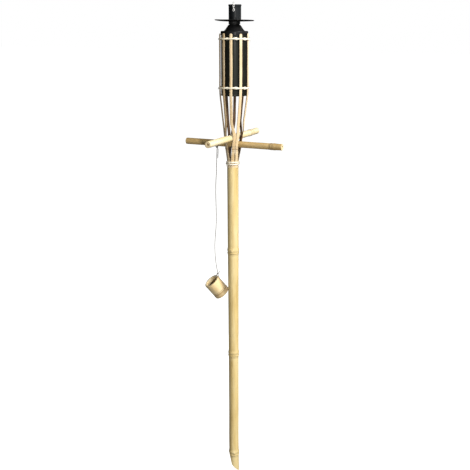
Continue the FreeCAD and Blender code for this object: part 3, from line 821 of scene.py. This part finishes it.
def make_bar(name, joint, skin, turn, height, slot_name, seed):
    """A bamboo bar about +Z, hollow at both ends, laid along its own axis."""
    heights = sorted(
        list(np.arange(-BAR_HALF + 1.2, BAR_HALF - 1, 2.6)) + list(joint + np.arange(-8, 12, 0.5))
    )
    heights = [-BAR_HALF, -BAR_HALF + 0.3, -BAR_HALF + 0.8] + heights
    heights = [h for h in heights if h < BAR_HALF - 1] + [BAR_HALF - 0.8, BAR_HALF - 0.3, BAR_HALF]
    sides = 64
    bends = (0.7 * seed % 1.0, 1.3 * seed % 1.0)
    depths = (BAR_HALF - 24.0, -BAR_HALF + 52.0)
    vertices, grain, rings, skins, kinds = [], [], [], [], []

    def add_ring(h, radius, on_skin, kind):
        bend = Vector((math.sin(h / 95 + bends[0]), math.sin(h / 120 + bends[1]), 0)) * 0.35
        for t in full_turn(sides):
            direction = around(t)
            rough = 0.1 * noise.noise(Vector((direction.x, direction.y, h / 40 + seed)))
            vertices.append((direction * (radius + rough) + bend + Z * h) * MM)
            grain.append((direction * radius + Z * h) * MM)
            rings.append((h - joint) * MM)
            skins.append(on_skin)
            kinds.append(kind)

    add_ring(depths[1], 0.01, 0.3, 2)
    add_ring(depths[1], 3.0, 0.3, 2)
    for h in np.linspace(depths[1], -BAR_HALF + 0.4, 14):
        add_ring(h, BAR_BORE_R, 0.3, 2)
    add_ring(-BAR_HALF, 3.5, 0.4, 2)
    for h in heights:
        edge = {0.0: 0.45, 0.3: 0.15}.get(round(BAR_HALF - abs(h), 1), 0.0)
        taper = 0.075 * (1 - h / BAR_HALF)
        radius = BAR_R - edge + 0.55 * joint_relief(h - joint) + taper - 0.05
        add_ring(h, radius, 1.0, 1 if h == heights[0] else 0)
    add_ring(BAR_HALF, 3.5, 0.4, 1)
    for h in np.linspace(BAR_HALF - 0.4, depths[0], 10):
        add_ring(h, BAR_BORE_R, 0.3, 2)
    add_ring(depths[0], 0.01, 0.3, 2)
    rows = len(vertices) // sides
    mesh = build_mesh(name, vertices, grid_faces(rows, sides), kinds[sides:])
    mark(mesh, grain=grain, ring=rings, skin=skins)
    fixed_normals(mesh)
    sharpen(mesh, 35)
    mesh.transform(Matrix.Translation(crook(BARS_MIDDLE_Z * MM) + Z * height * MM) @ turn.to_4x4())
    new_object(name + "_bamboo", mesh, [skin, CUT_END, BORE], "torch_frame", slot_name, name)


ALONG_X = Matrix.Rotation(math.pi / 2, 3, "Y")
ALONG_Y = Matrix.Rotation(-math.pi / 2 + math.radians(1.3), 3, "X")  # its near end hangs a little low
make_bar("lower_crossbar", 105.0, LOWER_SKIN, ALONG_X, LOWER_BAR_Z, "lower_bar_bamboo", 2.0)
make_bar("upper_crossbar", 90.0, UPPER_SKIN, ALONG_Y, UPPER_BAR_Z, "upper_bar_bamboo", 5.0)

# ---------------------------------------------------------------- cane bindings

WEAVE_R = {"lower": 35.56, "upper": 35.46}
WEAVE_Z = {"lower": 995.2, "upper": 1109.2}
WEAVE_OUT = 2.54
WEAVE_RISE = 1.9
WEAVE_WAVER = {"lower": -1.0, "upper": -0.5}


def cane_mesh(name, parts):
    vertices, faces = join_parts([part[:2] for part in parts])
    mesh = build_mesh(name, vertices, faces)
    grain = []
    for (part_vertices, _, sides) in parts:
        run = 0.0
        for i, vertex in enumerate(part_vertices):
            ring, k = divmod(i, sides)
            if k == 0 and ring:
                run += (part_vertices[i] - part_vertices[i - sides]).length
            turn = 2 * math.pi * k / sides
            grain.append(Vector((math.cos(turn) * MM, math.sin(turn) * MM, run)))
    mark(mesh, grain=grain)
    sharpen(mesh, 50)
    return mesh


def weave_line(level, first_side):
    """The control points of a strand: outside one strip, inside the next."""
    radius, height = WEAVE_R[level], WEAVE_Z[level]
    directions = [turns[3] for turns in STRIP_TURNS]
    half_strip = math.degrees(4.3 / radius)
    points = []
    for i, degrees in enumerate(directions):
        side = first_side if i % 2 == 0 else -first_side
        waver = WEAVE_WAVER[level] * math.sin(math.radians(degrees) - CAMERA_AZIMUTH)
        stray = 0.5 * math.sin(i * 2.4 + first_side)
        for place in (-half_strip, half_strip):
            points.append(on_ring(radius + side * WEAVE_OUT, degrees + place, height + waver + stray))
        following = directions[(i + 1) % 8] + (360 if i == 7 else 0)
        middle = (degrees + following) / 2
        points.append(on_ring(radius, middle, height + waver + stray + side * WEAVE_RISE))
    return points


def on_ring(radius, degrees, height):
    return (around(math.radians(degrees)) * radius + Z * height) * MM + crook(height * MM)


def make_weave(level, letter, first_side):
    line = even_line(smooth_line(weave_line(level, first_side), closed=True), 1.2 * MM, closed=True)
    sides = 12
    vertices, faces = tube(line, 1.75 * MM, sides, closed=True, flat=0.56, up=Z)
    parts = [(vertices, faces, sides)]
    if letter == "a":
        parts += loose_end(level)
    node = "%s_weave_%s" % (level, letter)
    new_object(node + "_cane", cane_mesh(node, parts), [CANE], "torch_frame", "cane", node)


def loose_end(level):
    """Where the strand's end is tucked in and sticks out a little."""
    degrees = {"upper": 2.0, "lower": 190.0}[level]
    height = WEAVE_Z[level]
    points = [
        on_ring(37.5, degrees - 9, height - 0.6), on_ring(38.5, degrees - 4, height - 1.6),
        on_ring(38.9, degrees + 2, height - 2.6), on_ring(39.7, degrees + 7, height - 4.6),
    ]
    line = even_line(smooth_line(points), 0.6 * MM)
    vertices, faces = tube(line, 1.0 * MM, 10, flat=0.75, up=Z, taper=lambda t: 1 - 0.35 * t)
    return [(vertices, faces, 10)]


for level in ("lower", "upper"):
    make_weave(level, "a", 1)
    make_weave(level, "b", -1)


THROAT_R = 15.4


def make_throat():
    """Two turns of cane round the strips' roots, crossing, with both ends sticking out."""
    sides = 12
    parts = []
    for start, slope in ((813.1, 1.0), (816.4, -0.9)):
        line = []
        for k in range(96):
            turn = 2 * math.pi * k / 96
            tilt = math.sin(turn - CAMERA_AZIMUTH)
            lift = 0.5 if abs(tilt) < 0.3 and slope > 0 else 0
            radius = THROAT_R + 0.18 * math.sin(8 * turn + start) + lift
            line.append(on_ring(radius, math.degrees(turn), start + slope * tilt))
        line = even_line(smooth_line(line, closed=True, count=2), 0.9 * MM, closed=True)
        vertices, faces = tube(line, 1.6 * MM, sides, closed=True, flat=0.7, up=Z)
        parts.append((vertices, faces, sides))
    for degrees, height, way, drop in ((-150, 812.4, 1, -6.0), (60, 815.0, -1, -2.4)):
        points = [(THROAT_R, 0, 0), (16.4, 9 * way, 0.15), (17.2, 20 * way, 0.5), (17.4, 30 * way, 1.0)]
        ends = []
        for radius, turn, share in points:
            place = around(math.radians(degrees + turn)) * radius + Z * (height + drop * share)
            ends.append(place * MM + crook(height * MM))
        line = even_line(smooth_line(ends), 0.6 * MM)
        vertices, faces = tube(line, 1.05 * MM, 10, flat=0.8, up=Z, taper=lambda t: 1 - 0.4 * t)
        parts.append((vertices, faces, 10))
    mesh = cane_mesh("throat_cane", parts)
    new_object("throat_cane", mesh, [CANE], "torch_frame", "cane", "throat_binding")


make_throat()

# ---------------------------------------------------------------- fuel tin

SHEET = 0.7


def scaled_outline(points):
    return [(r * MM, z * MM) for r, z in points]


def shifted(mesh, shift):
    mesh.transform(Matrix.Translation(shift))
    return mesh


def tin_dents(co):
    """Thin sheet is never quite round: faint flats and one shallow dent."""
    if co.xy.length < 5 * MM:
        return co
    direction = co.xy.normalized()
    wave = noise.noise(Vector((direction.x * 1.6, direction.y * 1.6, co.z * 16)))
    dent = math.exp(-((co.z - 1.02) / 0.018) ** 2 - (direction.angle(Vector((0.9, -0.43))) / 0.35) ** 2)
    return co + Vector((direction.x, direction.y, 0)) * (0.12 * wave - 0.5 * dent) * MM


BENCH = {
    TIN_PAINT: ("fuel_tin", "tin_paint"), SHADED_CONE_PAINT: ("fuel_tin", "tin_paint"),
    BURNER_PAINT: ("burner", "burner_metal"), CAP_PAINT: ("snuffer_cap", "cap_paint"),
}


def turned(name, node, outline, round_by, segments, paint, shift, warp=None, body=None):
    """A piece turned about the tin's axis from an outline in mm, on its paint's usual body."""
    mesh = lathe(node, scaled_outline(outline), round_by * MM, segments, warp)
    usual_body, slot = BENCH[paint]
    new_object(name, shifted(mesh, shift), [paint], body or usual_body, slot, node)


def make_tin():
    body = [(30.6, 977.4), (31.2, 977.4), (31.2, 980.8), (30.9, 982.2)]
    body += [(31.2, 983.6 + 12.07 * k) for k in range(11)] + [(31.2, 1118.8), (30.6, 1118.8)]
    body += [(30.6, 1100.0 - 20 * k) for k in range(6)]
    mesh = lathe("tin_body", scaled_outline(body), 0.2 * MM, 128, tin_dents)
    mesh = with_seam(shifted(mesh, WALL_SHIFT))
    new_object("tin_wall", mesh, [TIN_PAINT], "fuel_tin", "tin_paint", "tin_body")
    base = [(0, 979.6), (19, 979.8), (26.1, 980.0), (27.6, 979.0), (29.2, 976.8), (31.0, 976.6)]
    base += [(31.4, 977.1), (31.45, 978.4), (31.4, 979.8), (31.3, 980.2), (31.24, 980.0), (31.22, 977.5)]
    base += [(30.4, 977.4), (28.6, 979.8), (26.2, 980.7), (0, 980.4)]
    turned("tin_bottom", "tin_base", base, 0.3, 128, TIN_PAINT, WALL_SHIFT)
    top = [(31.24, 1118.2), (32.1, 1118.0), (32.6, 1118.7), (32.55, 1120.4), (32.6, 1122.8), (32.5, 1125.2)]
    top += [(32.0, 1126.7), (30.7, 1127.3), (28.0, 1127.1), (25.6, 1127.1), (24.2, 1127.7), (20.9, 1131.5)]
    top += [(17.6, 1136.3), (14.3, 1141.0), (13.2, 1141.5), (12.3, 1141.8), (12.1, 1141.1), (12.9, 1140.7)]
    top += [(13.7, 1140.3), (17.0, 1135.6), (20.3, 1130.8), (23.8, 1126.7), (28.0, 1126.4), (30.4, 1126.5)]
    top += [(31.7, 1125.2), (31.9, 1122.8), (31.8, 1119.9), (31.1, 1119.6), (28.6, 1119.7), (28.6, 1119.0)]
    top += [(31.24, 1118.9)]
    turned("tin_shoulder", "tin_top", top, 0.35, 128, SHADED_CONE_PAINT, TIN_SHIFT)
    neck = [(11.3, 1135.5), (12.0, 1135.5), (12.0, 1142.7), (12.5, 1143.7), (12.0, 1144.7), (12.5, 1145.9)]
    neck += [(12.0, 1146.9), (12.0, 1147.3), (11.3, 1147.3)]
    turned("neck_thread", "filler_neck", neck, 0.25, 96, SHADED_CONE_PAINT, TIN_SHIFT)


def with_seam(mesh):
    """The folded seam down the back of the tin's wall."""
    seam = math.radians(140)
    for vertex in mesh.vertices:
        flat = vertex.co.xy - WALL_SHIFT.xy
        if flat.length < 30.9 * MM or not 0.983 < vertex.co.z < 1.117:
            continue
        aside = (math.atan2(flat.y, flat.x) - seam + math.pi) % (2 * math.pi) - math.pi
        rise = 0.25 * MM * math.exp(-(aside * 31 / 2.6) ** 4)
        vertex.co.x += math.cos(seam + aside) * rise
        vertex.co.y += math.sin(seam + aside) * rise
    return mesh


make_tin()

# ---------------------------------------------------------------- burner, wick and flame guard


def make_burner():
    low, high = 1142.7, 1149.5
    outline = [(12.9, low), (13.6, low), (13.85, low + 0.6), (13.6, low + 1.2), (13.6, high - 1.0)]
    outline += [(13.2, high), (8.4, high), (8.4, high - SHEET), (12.9, high - SHEET)]
    turned("collar_cap", "burner_collar", outline, 0.3, 144, BURNER_PAINT, TIN_SHIFT, knurl)
    low, high = 1117.0, 1172.9
    outline = [(7.8, low), (8.4, low), (8.4, low + 20), (8.4, 1160.0), (8.4, high - 2.2), (8.9, high - 1.4)]
    outline += [(9.1, high - 0.6), (8.8, high), (8.1, high), (7.8, high - 0.6)]
    outline += [(7.8, 1160.0), (7.8, low + 20)]
    turned("wick_holder", "wick_tube", outline, 0.3, 96, BURNER_PAINT, TIN_SHIFT)


def knurl(co):
    """Fine ribs on the collar's skirt, to grip it by."""
    radius = co.xy.length
    if radius < 13.3 * MM or not 1.1441 < co.z < 1.1485:
        return co
    turn = math.atan2(co.y, co.x)
    return co + Vector((co.x, co.y, 0)) / radius * 0.16 * MM * math.cos(36 * turn)


def make_guard():
    """The disc, its pressed step and rolled edge, a little bent up on one side."""
    low = 1149.8
    outline = [(9.0, low), (12, low), (21, low), (22, low + 0.3), (23, low + 0.85), (30, low + 0.9)]
    outline += [(38, low + 0.9), (42, low + 0.9), (44.9, low + 0.9), (45.3, low + 0.5), (45.8, low + 0.4)]
    outline += [(46.3, low + 0.8), (46.5, low + 1.3), (46.3, low + 1.8), (45.7, low + 2.1), (45.1, low + 1.8)]
    outline += [(42, low + 1.6), (38, low + 1.6), (30, low + 1.6), (23, low + 1.6), (21.8, low + 0.9)]
    outline += [(21, low + 0.75), (12, low + 0.75), (9.0, low + 0.75)]
    where = (BURNER_PAINT, TIN_SHIFT, guard_warp, "flame_guard")
    turned("guard_disc", "flame_guard", outline, 0.25, 160, *where)


def guard_warp(co):
    """Its near side stands a little higher than its far side, and its left edge is bent up."""
    share = max(0.0, co.xy.length - 20 * MM) / (26.5 * MM)
    near = co.dot(TOWARDS) / (46.5 * MM)
    left = max(0.0, -co.dot(SIDEWAYS) / (46.5 * MM))
    ripple = noise.noise(Vector((co.x * 30, co.y * 30, 3.0)))
    rise = share * (1.8 * near + 1.9 * left**3 + 0.2 * ripple)
    return co + Z * rise * MM


def make_wick():
    """Braided fibre: raised diamonds down its sides and a charred, rounded tip."""
    low, high = 988.0, 1176.4
    heights = list(np.arange(low, 1150.0, 3.0)) + list(np.arange(1150.0, high - 1.5, 0.7))
    rows = [(7.2, h) for h in heights]
    rows += [(7.0, high - 1.0), (6.3, high - 0.3), (5.0, high), (2.6, high - 0.5)]
    sides = 64
    vertices = []
    for radius, h in rows:
        for t in full_turn(sides):
            braid = abs(math.sin(6 * t + h / 2.2)) * abs(math.sin(6 * t - h / 2.2))
            frayed = 0.25 * noise.noise(Vector((math.cos(t) * 4, math.sin(t) * 4, h)))
            place = around(t) * (radius - 0.35 + 0.45 * braid)
            top = frayed if h > high - 1.2 else 0
            vertices.append((place + Z * (h + min(0, top))) * MM + TIN_SHIFT)
    faces = grid_faces(len(rows), sides) + end_faces(vertices, sides)
    mesh = build_mesh("wick", vertices, faces)
    mark(mesh, char=[min(1.0, max(0.0, (vertex.co.z - 1.168) / 0.0075)) for vertex in mesh.vertices])
    new_object("wick_braid", mesh, [wick_material()], "wick", "wick_fibre", "wick")


def wick_material():
    s = Shader("wick_fibre", 0.95)
    place = s.place()
    lint = s.noise(s.scaled(place, 2600, 2600, 1500), 3.0, 0.7)
    shade = s.ramp(lint, list(zip((0.3, 0.5, 0.68), colours("b9ab8c e0d5bb f4ecd8"))))
    soot = s.math("ADD", s.attribute("char"), s.range(lint, 0.2, 0.8, -0.25, 0.25))
    shade = s.mix(s.ramp(soot, [(0.1, 0.0), (0.7, 1.0)]), shade, srgb("191512"))
    return s.finish(shade, s.range(lint, 0.3, 0.7, 0.85, 1.0), s.bump(lint, 0.7, 0.0004))


make_burner()
make_guard()
make_wick()

# ---------------------------------------------------------------- snuffer cap and its chain

CAP_LOW, CAP_HIGH = 1150.9, 1187.9
RING_OUT, RING_SIDE, RING_R, RING_WIRE = 9.3, 3.0, 3.2, 0.7
LINK_WIRE, LINK_WIDTH, LINK_STRAIGHT, LINK_GAP = 0.55, 3.2, 3.0, 0.35
LINK_DROPS = [11.5, 78.0, 90.0, 90.0, 90.0]


def make_cap():
    low, high = CAP_LOW, CAP_HIGH
    outline = [(14.0, low), (15.1, low), (15.4, low + 0.5), (15.4, low + 1.5), (15.0, low + 2.3)]
    outline += [(14.7, low + 2.8), (14.7, low + 12), (14.7, low + 22), (14.7, high - 4.6), (15.0, high - 4.0)]
    outline += [(15.4, high - 3.2), (15.4, high - 1.4), (15.0, high - 0.5), (14.3, high), (13.5, high - 0.05)]
    outline += [(12.6, high - 0.5)]
    outline += [(6, high - 0.6), (0, high - 0.6), (0, high - 1.3), (12.7, high - 1.3), (13.7, high - 1.6)]
    outline += [(14.0, high - 2.4), (14.0, low + 22), (14.0, low + 12)]
    turned("cap_shell", "snuffer_cap", outline, 0.3, 128, CAP_PAINT, CAP_SHIFT)
    foot = (TOWARDS * 14.45 + SIDEWAYS * 2.8 + Z * (low + 5.5)) * MM
    outline = [(0, 0), (1.9, 0), (1.8, 0.6), (1.3, 1.0), (0.7, 1.2), (0, 1.25)]
    head = lathe("rivet", scaled_outline(outline), 0.2 * MM, 32)
    turn = Z.rotation_difference(TOWARDS).to_matrix().to_4x4()
    head.transform(Matrix.Translation(foot + CAP_SHIFT) @ turn)
    new_object("cap_rivet_head", head, [CAP_PAINT], "snuffer_cap", "cap_paint", "cap_rivet")
    foot = TOWARDS * RING_OUT - SIDEWAYS * RING_SIDE + Z * (high - 0.6)
    tab = lathe("tab", scaled_outline([(0, 0), (2.6, 0), (2.6, 1.0), (2.1, 1.4), (0, 1.4)]), 0.3 * MM, 40)
    tab.transform(Matrix.Translation(foot * MM))
    ring = [v.co for v in tab.vertices], [tuple(p.vertices) for p in tab.polygons]
    centre = foot + Z * (RING_R + RING_WIRE + 0.7)
    circle = []
    for t in full_turn(48):
        circle.append((centre + (TOWARDS * math.cos(t) + Z * math.sin(t)) * RING_R) * MM)
    parts = join_parts([ring, tube(circle, RING_WIRE * MM, 12, closed=True)])
    mesh = fixed_normals(shifted(build_mesh("cap_ring", *parts), CAP_SHIFT))
    sharpen(mesh)
    new_object("cap_eye", mesh, [CHAIN_PAINTED_GLINT], "snuffer_cap", "chain_steel", "cap_ring")


def link_parts(centre, along, across):
    """One link of bright wire: straight sides joined by half circles."""
    line = []
    for end in (1, -1):
        for t in np.linspace(0, math.pi, 14):
            place = along * end * (LINK_STRAIGHT / 2 + math.sin(t) * LINK_WIDTH / 2)
            line.append((centre + place + across * end * math.cos(t) * LINK_WIDTH / 2) * MM)
    return tube(line, LINK_WIRE * MM, 10, closed=True)


def make_chain():
    held_by = TOWARDS * (RING_OUT + RING_R) - SIDEWAYS * RING_SIDE
    held_by += Z * (CAP_HIGH + RING_R + RING_WIRE + 0.1)
    bite = RING_WIRE + LINK_WIRE + LINK_GAP
    half = (LINK_STRAIGHT + LINK_WIDTH) / 2
    links = []
    for i, drop in enumerate(LINK_DROPS):
        slope = math.radians(drop)
        along = TOWARDS * math.cos(slope) - Z * math.sin(slope)
        across = along.cross(SIDEWAYS) if i % 2 else SIDEWAYS
        centre = held_by + along * (half - bite)
        links.append(link_parts(centre, along, across))
        held_by = centre + along * half
        bite = 2 * LINK_WIRE + LINK_GAP
    top = shifted(build_mesh("chain_top", *links[0]), CAP_SHIFT)
    new_object("chain_top_wire", top, [CHAIN_PAINTED_GLINT], "snuffer_cap", "chain_steel", "chain_top_link")
    rest = shifted(build_mesh("chain", *join_parts(links[1:])), CAP_SHIFT)
    new_object("chain_wire_links", rest, [CHAIN_PAINTED_GLINT], "cap_chain", "chain_steel", "cap_chain")


make_cap()
make_chain()

# ---------------------------------------------------------------- cup and the string's loops

TOP_KNOT = Vector((STRING_X, 0.0, 0.8493))
CUP_KNOT = Vector((STRING_X, 0.0, 0.529))
CUP_LEAN, CUP_HEADING = math.radians(40), math.radians(49)
CUP_BALANCE, CUP_DROP = 25.6, 37.0
CUP_R, CUP_WALL, CUP_LENGTH, CUP_SEPTUM = 20.2, 4.6, 45.0, 5.0
HOLE_FROM_RIM = 7.0


def cup_axes():
    level = around(CUP_HEADING)
    axis = level * math.sin(CUP_LEAN) - Z * math.cos(CUP_LEAN)
    towards_hole = level * math.cos(CUP_LEAN) + Z * math.sin(CUP_LEAN)
    return axis, towards_hole


def cup_mouth():
    return CUP_KNOT - (Z * CUP_DROP + cup_axes()[0] * CUP_BALANCE) * MM


def make_cup():
    """A length of culm about +Z, its mouth at 0 and its joint's wall at the far end."""
    sides = 96
    rows, kinds = [], []

    def add(radius, h, skin, kind):
        rows.append((radius, h, skin))
        kinds.append(kind)

    inner = CUP_R - CUP_WALL
    floor = CUP_LENGTH - CUP_SEPTUM
    for radius in (0.01, 3.0, 7.0, 11.0):
        add(radius, floor + 0.9 - 0.07 * radius, 0.2, 2)
    for h in [floor - 0.6] + list(np.linspace(floor - 2.5, 1.0, 16)):
        add(inner + (0.0 if h < floor - 1 else -0.8), h, 0.3, 2)
    for radius, h in ((inner + 0.35, 0.2), (inner + 0.9, 0.0)):
        add(radius, h, 0.55, 1)
    for radius in np.linspace(inner + 1.6, CUP_R - 0.9, 4):
        add(radius, 0.0, 0.4 + 0.6 * (radius - inner) / CUP_WALL, 1)
    for radius, h in ((CUP_R - 0.5, 0.08), (CUP_R - 0.12, 0.45)):
        add(radius, h, 1.0, 1)
    joint = floor + 3.2
    for h in list(np.linspace(1.0, floor - 6, 20)) + list(np.arange(floor - 5.4, CUP_LENGTH - 0.8, 0.4)):
        add(CUP_R + 0.3 * joint_relief(h - joint), h, 1.0, 0)
    for radius, h in ((CUP_R - 0.1, CUP_LENGTH - 0.35), (CUP_R - 0.6, CUP_LENGTH)):
        add(radius, h, 1.0, 1)
    for radius in np.linspace(CUP_R - 1.6, 0.01, 9):
        add(radius, CUP_LENGTH + 0.12 * math.cos(radius), radius / CUP_R * 0.8, 1)
    vertices, grain, rings, skins = [], [], [], []
    for radius, h, skin in rows:
        for t in full_turn(sides):
            direction = around(t)
            wave = 0.14 * noise.noise(Vector((direction.x * 1.4, direction.y * 1.4, h / 24 + 4)))
            oval = 1 + 0.012 * math.cos(2 * t + 0.6)
            vertices.append((direction * (radius + wave * min(1, radius / 6)) * oval + Z * h) * MM)
            grain.append((direction * radius + Z * h) * MM)
            rings.append((h - joint + 5.5) * MM)
            skins.append(skin)
    face_kinds = []
    for kind in kinds[1:]:
        face_kinds += [kind] * sides
    mesh = build_mesh("cup", vertices, grid_faces(len(rows), sides), face_kinds)
    mark(mesh, grain=grain, ring=rings, skin=skins)
    fixed_normals(mesh)
    dress(mesh, CUP_SKIN, CUT_END, BORE)
    mesh = cut_mesh(mesh, [hole_cutter()])
    sharpen(mesh, 35)
    axis, towards_hole = cup_axes()
    turn = Matrix((towards_hole, axis.cross(towards_hole), axis)).transposed().to_4x4()
    mesh.transform(Matrix.Translation(cup_mouth()) @ turn)
    new_object("cup_bamboo_body", mesh, [], "hanging_cup", "cup_bamboo", "snuffer_cup")


def hole_cutter():
    sides = 24
    vertices = []
    for x in (9.0, 27.0):
        for t in full_turn(sides):
            vertices.append(Vector((x, 1.9 * math.cos(t), HOLE_FROM_RIM + 1.9 * math.sin(t))) * MM)
    faces = grid_faces(2, sides) + [tuple(range(sides)), tuple(range(2 * sides - 1, sides - 1, -1))]
    mesh = build_mesh("hole", vertices, faces, [1] * len(faces))
    dress(mesh, CUP_SKIN, CUT_END, BORE)
    return fixed_normals(mesh)


def twisted_mesh(name, lines):
    parts = []
    for line, closed in lines:
        parts += twisted(even_line(line, 0.45 * MM, closed), STRING_R, 4.2 * MM, closed=closed)
    return build_mesh(name, *join_parts(parts))


def make_loops():
    ring = []
    bar = crook(BARS_MIDDLE_Z * MM)
    for t in full_turn(72):
        lift = 0.5 * max(0.0, math.cos(t + math.pi / 2)) ** 6
        radius = 9.3 + lift
        slant = 0.9 * math.sin(t)
        place = Vector((slant, radius * math.cos(t), radius * math.sin(t))) * MM
        ring.append(place + Vector((STRING_X, bar.y / 2, LOWER_BAR_Z * MM)))
    second = [p + Vector((0.0017, 0, 0)) for p in ring]
    knot = knot_line(TOP_KNOT, 2.2 * MM)
    end = [(1, 0.5, 0), (2.4, 1.2, -3.0), (2.5, 1.2, -10), (2.0, 1.0, -18), (1.8, 0.9, -26)]
    end = smooth_line([TOP_KNOT + Vector(p) * MM for p in end])
    mesh = twisted_mesh("string_loop", [(ring, True), (second, True), (knot, True), (end, False)])
    new_object("bar_loop", mesh, [STRING_YARN], "string_loop", "string_cotton", "string_loop")
    axis, towards_hole = cup_axes()
    outside = cup_mouth() + towards_hole * (CUP_R + 1.2) * MM
    inside = cup_mouth() + towards_hole * (CUP_R - CUP_WALL - 1.2) * MM
    hole = axis * HOLE_FROM_RIM * MM
    corners = [CUP_KNOT, CUP_KNOT.lerp(outside + hole, 0.5), CUP_KNOT.lerp(outside + hole, 0.85)]
    corners += [outside + hole, (outside + inside) / 2 + hole, inside + hole]
    below = inside - axis * 1.4 * MM
    corners += [inside + axis * 3.0 * MM, below, CUP_KNOT.lerp(below, 0.5)]
    loop = smooth_line(corners, closed=True)
    tail = [CUP_KNOT]
    for aside, up in ((2.6, 1.6), (4.4, 4.0), (4.6, 7.4)):
        tail.append(CUP_KNOT + (SIDEWAYS * aside + Z * up) * MM)
    lines = [(loop, True), (knot_line(CUP_KNOT, 2.2 * MM), True), (smooth_line(tail), False)]
    mesh = twisted_mesh("cup_loop", lines)
    new_object("cup_tie", mesh, [STRING_YARN], "hanging_cup", "string_cotton", "cup_loop")


make_cup()
make_loops()

# ---------------------------------------------------------------- floor and light


def make_floor():
    corners = [(-30, -30, 0), (30, -30, 0), (30, 30, 0), (-30, 30, 0)]
    mesh = build_mesh("floor", corners, [(0, 1, 2, 3)], smooth=False)
    floor = bpy.data.objects.new("floor", mesh)
    scene.collection.objects.link(floor)
    floor.location.z = -0.002
    s = Shader("floor_white", 0.9, Emission_Color=(1, 1, 1, 1), Emission_Strength=1.0)
    dust = s.noise(s.scaled(s.place(), 3, 3, 3), 2.0)
    mesh.materials.append(s.finish(s.ramp(dust, [(0.3, srgb("c4c4c2")), (0.7, srgb("cbcbc9"))])))
    floor.visible_diffuse = False
    floor.visible_glossy = False


def make_world():
    world = bpy.data.worlds.new("studio")
    world.use_nodes = True
    scene.world = world
    tree = world.node_tree
    output = tree.nodes["World Output"]
    seen = tree.nodes["Background"]
    seen.inputs["Color"].default_value = (1, 1, 1, 1)
    seen.inputs["Strength"].default_value = 1.0
    ambient = tree.nodes.new("ShaderNodeBackground")
    ambient.inputs["Color"].default_value = (0.95, 0.97, 1.0, 1)
    ambient.inputs["Strength"].default_value = 0.05
    path = tree.nodes.new("ShaderNodeLightPath")
    mix = tree.nodes.new("ShaderNodeMixShader")
    tree.links.new(path.outputs["Is Camera Ray"], mix.inputs["Fac"])
    tree.links.new(ambient.outputs["Background"], mix.inputs[1])
    tree.links.new(seen.outputs["Background"], mix.inputs[2])
    tree.links.new(mix.outputs["Shader"], output.inputs["Surface"])


def add_light(name, azimuth, elevation, distance, size, power, colour, aim=0.85):
    """A soft square light aimed at the torch, placed by its direction from it."""
    data = bpy.data.lights.new(name, "AREA")
    data.size = size
    data.energy = power
    data.color = colour
    light = bpy.data.objects.new(name, data)
    scene.collection.objects.link(light)
    turn, rise = math.radians(azimuth), math.radians(elevation)
    away = Vector((math.cos(turn) * math.cos(rise), math.sin(turn) * math.cos(rise), math.sin(rise)))
    light.location = Z * aim + away * distance
    light.rotation_mode = "QUATERNION"
    light.rotation_quaternion = (-away).to_track_quat("-Z", "Y")


make_floor()
make_world()
add_light("key", -57, 4, 5.0, 0.25, 132, (1.0, 0.97, 0.93))
add_light("side", -12, 36, 3.0, 1.2, 118, (1.0, 0.98, 0.95))
add_light("edge", 60, 20, 3.5, 1.0, 26, (1.0, 1.0, 0.96))
scene.view_settings.view_transform = "Standard"
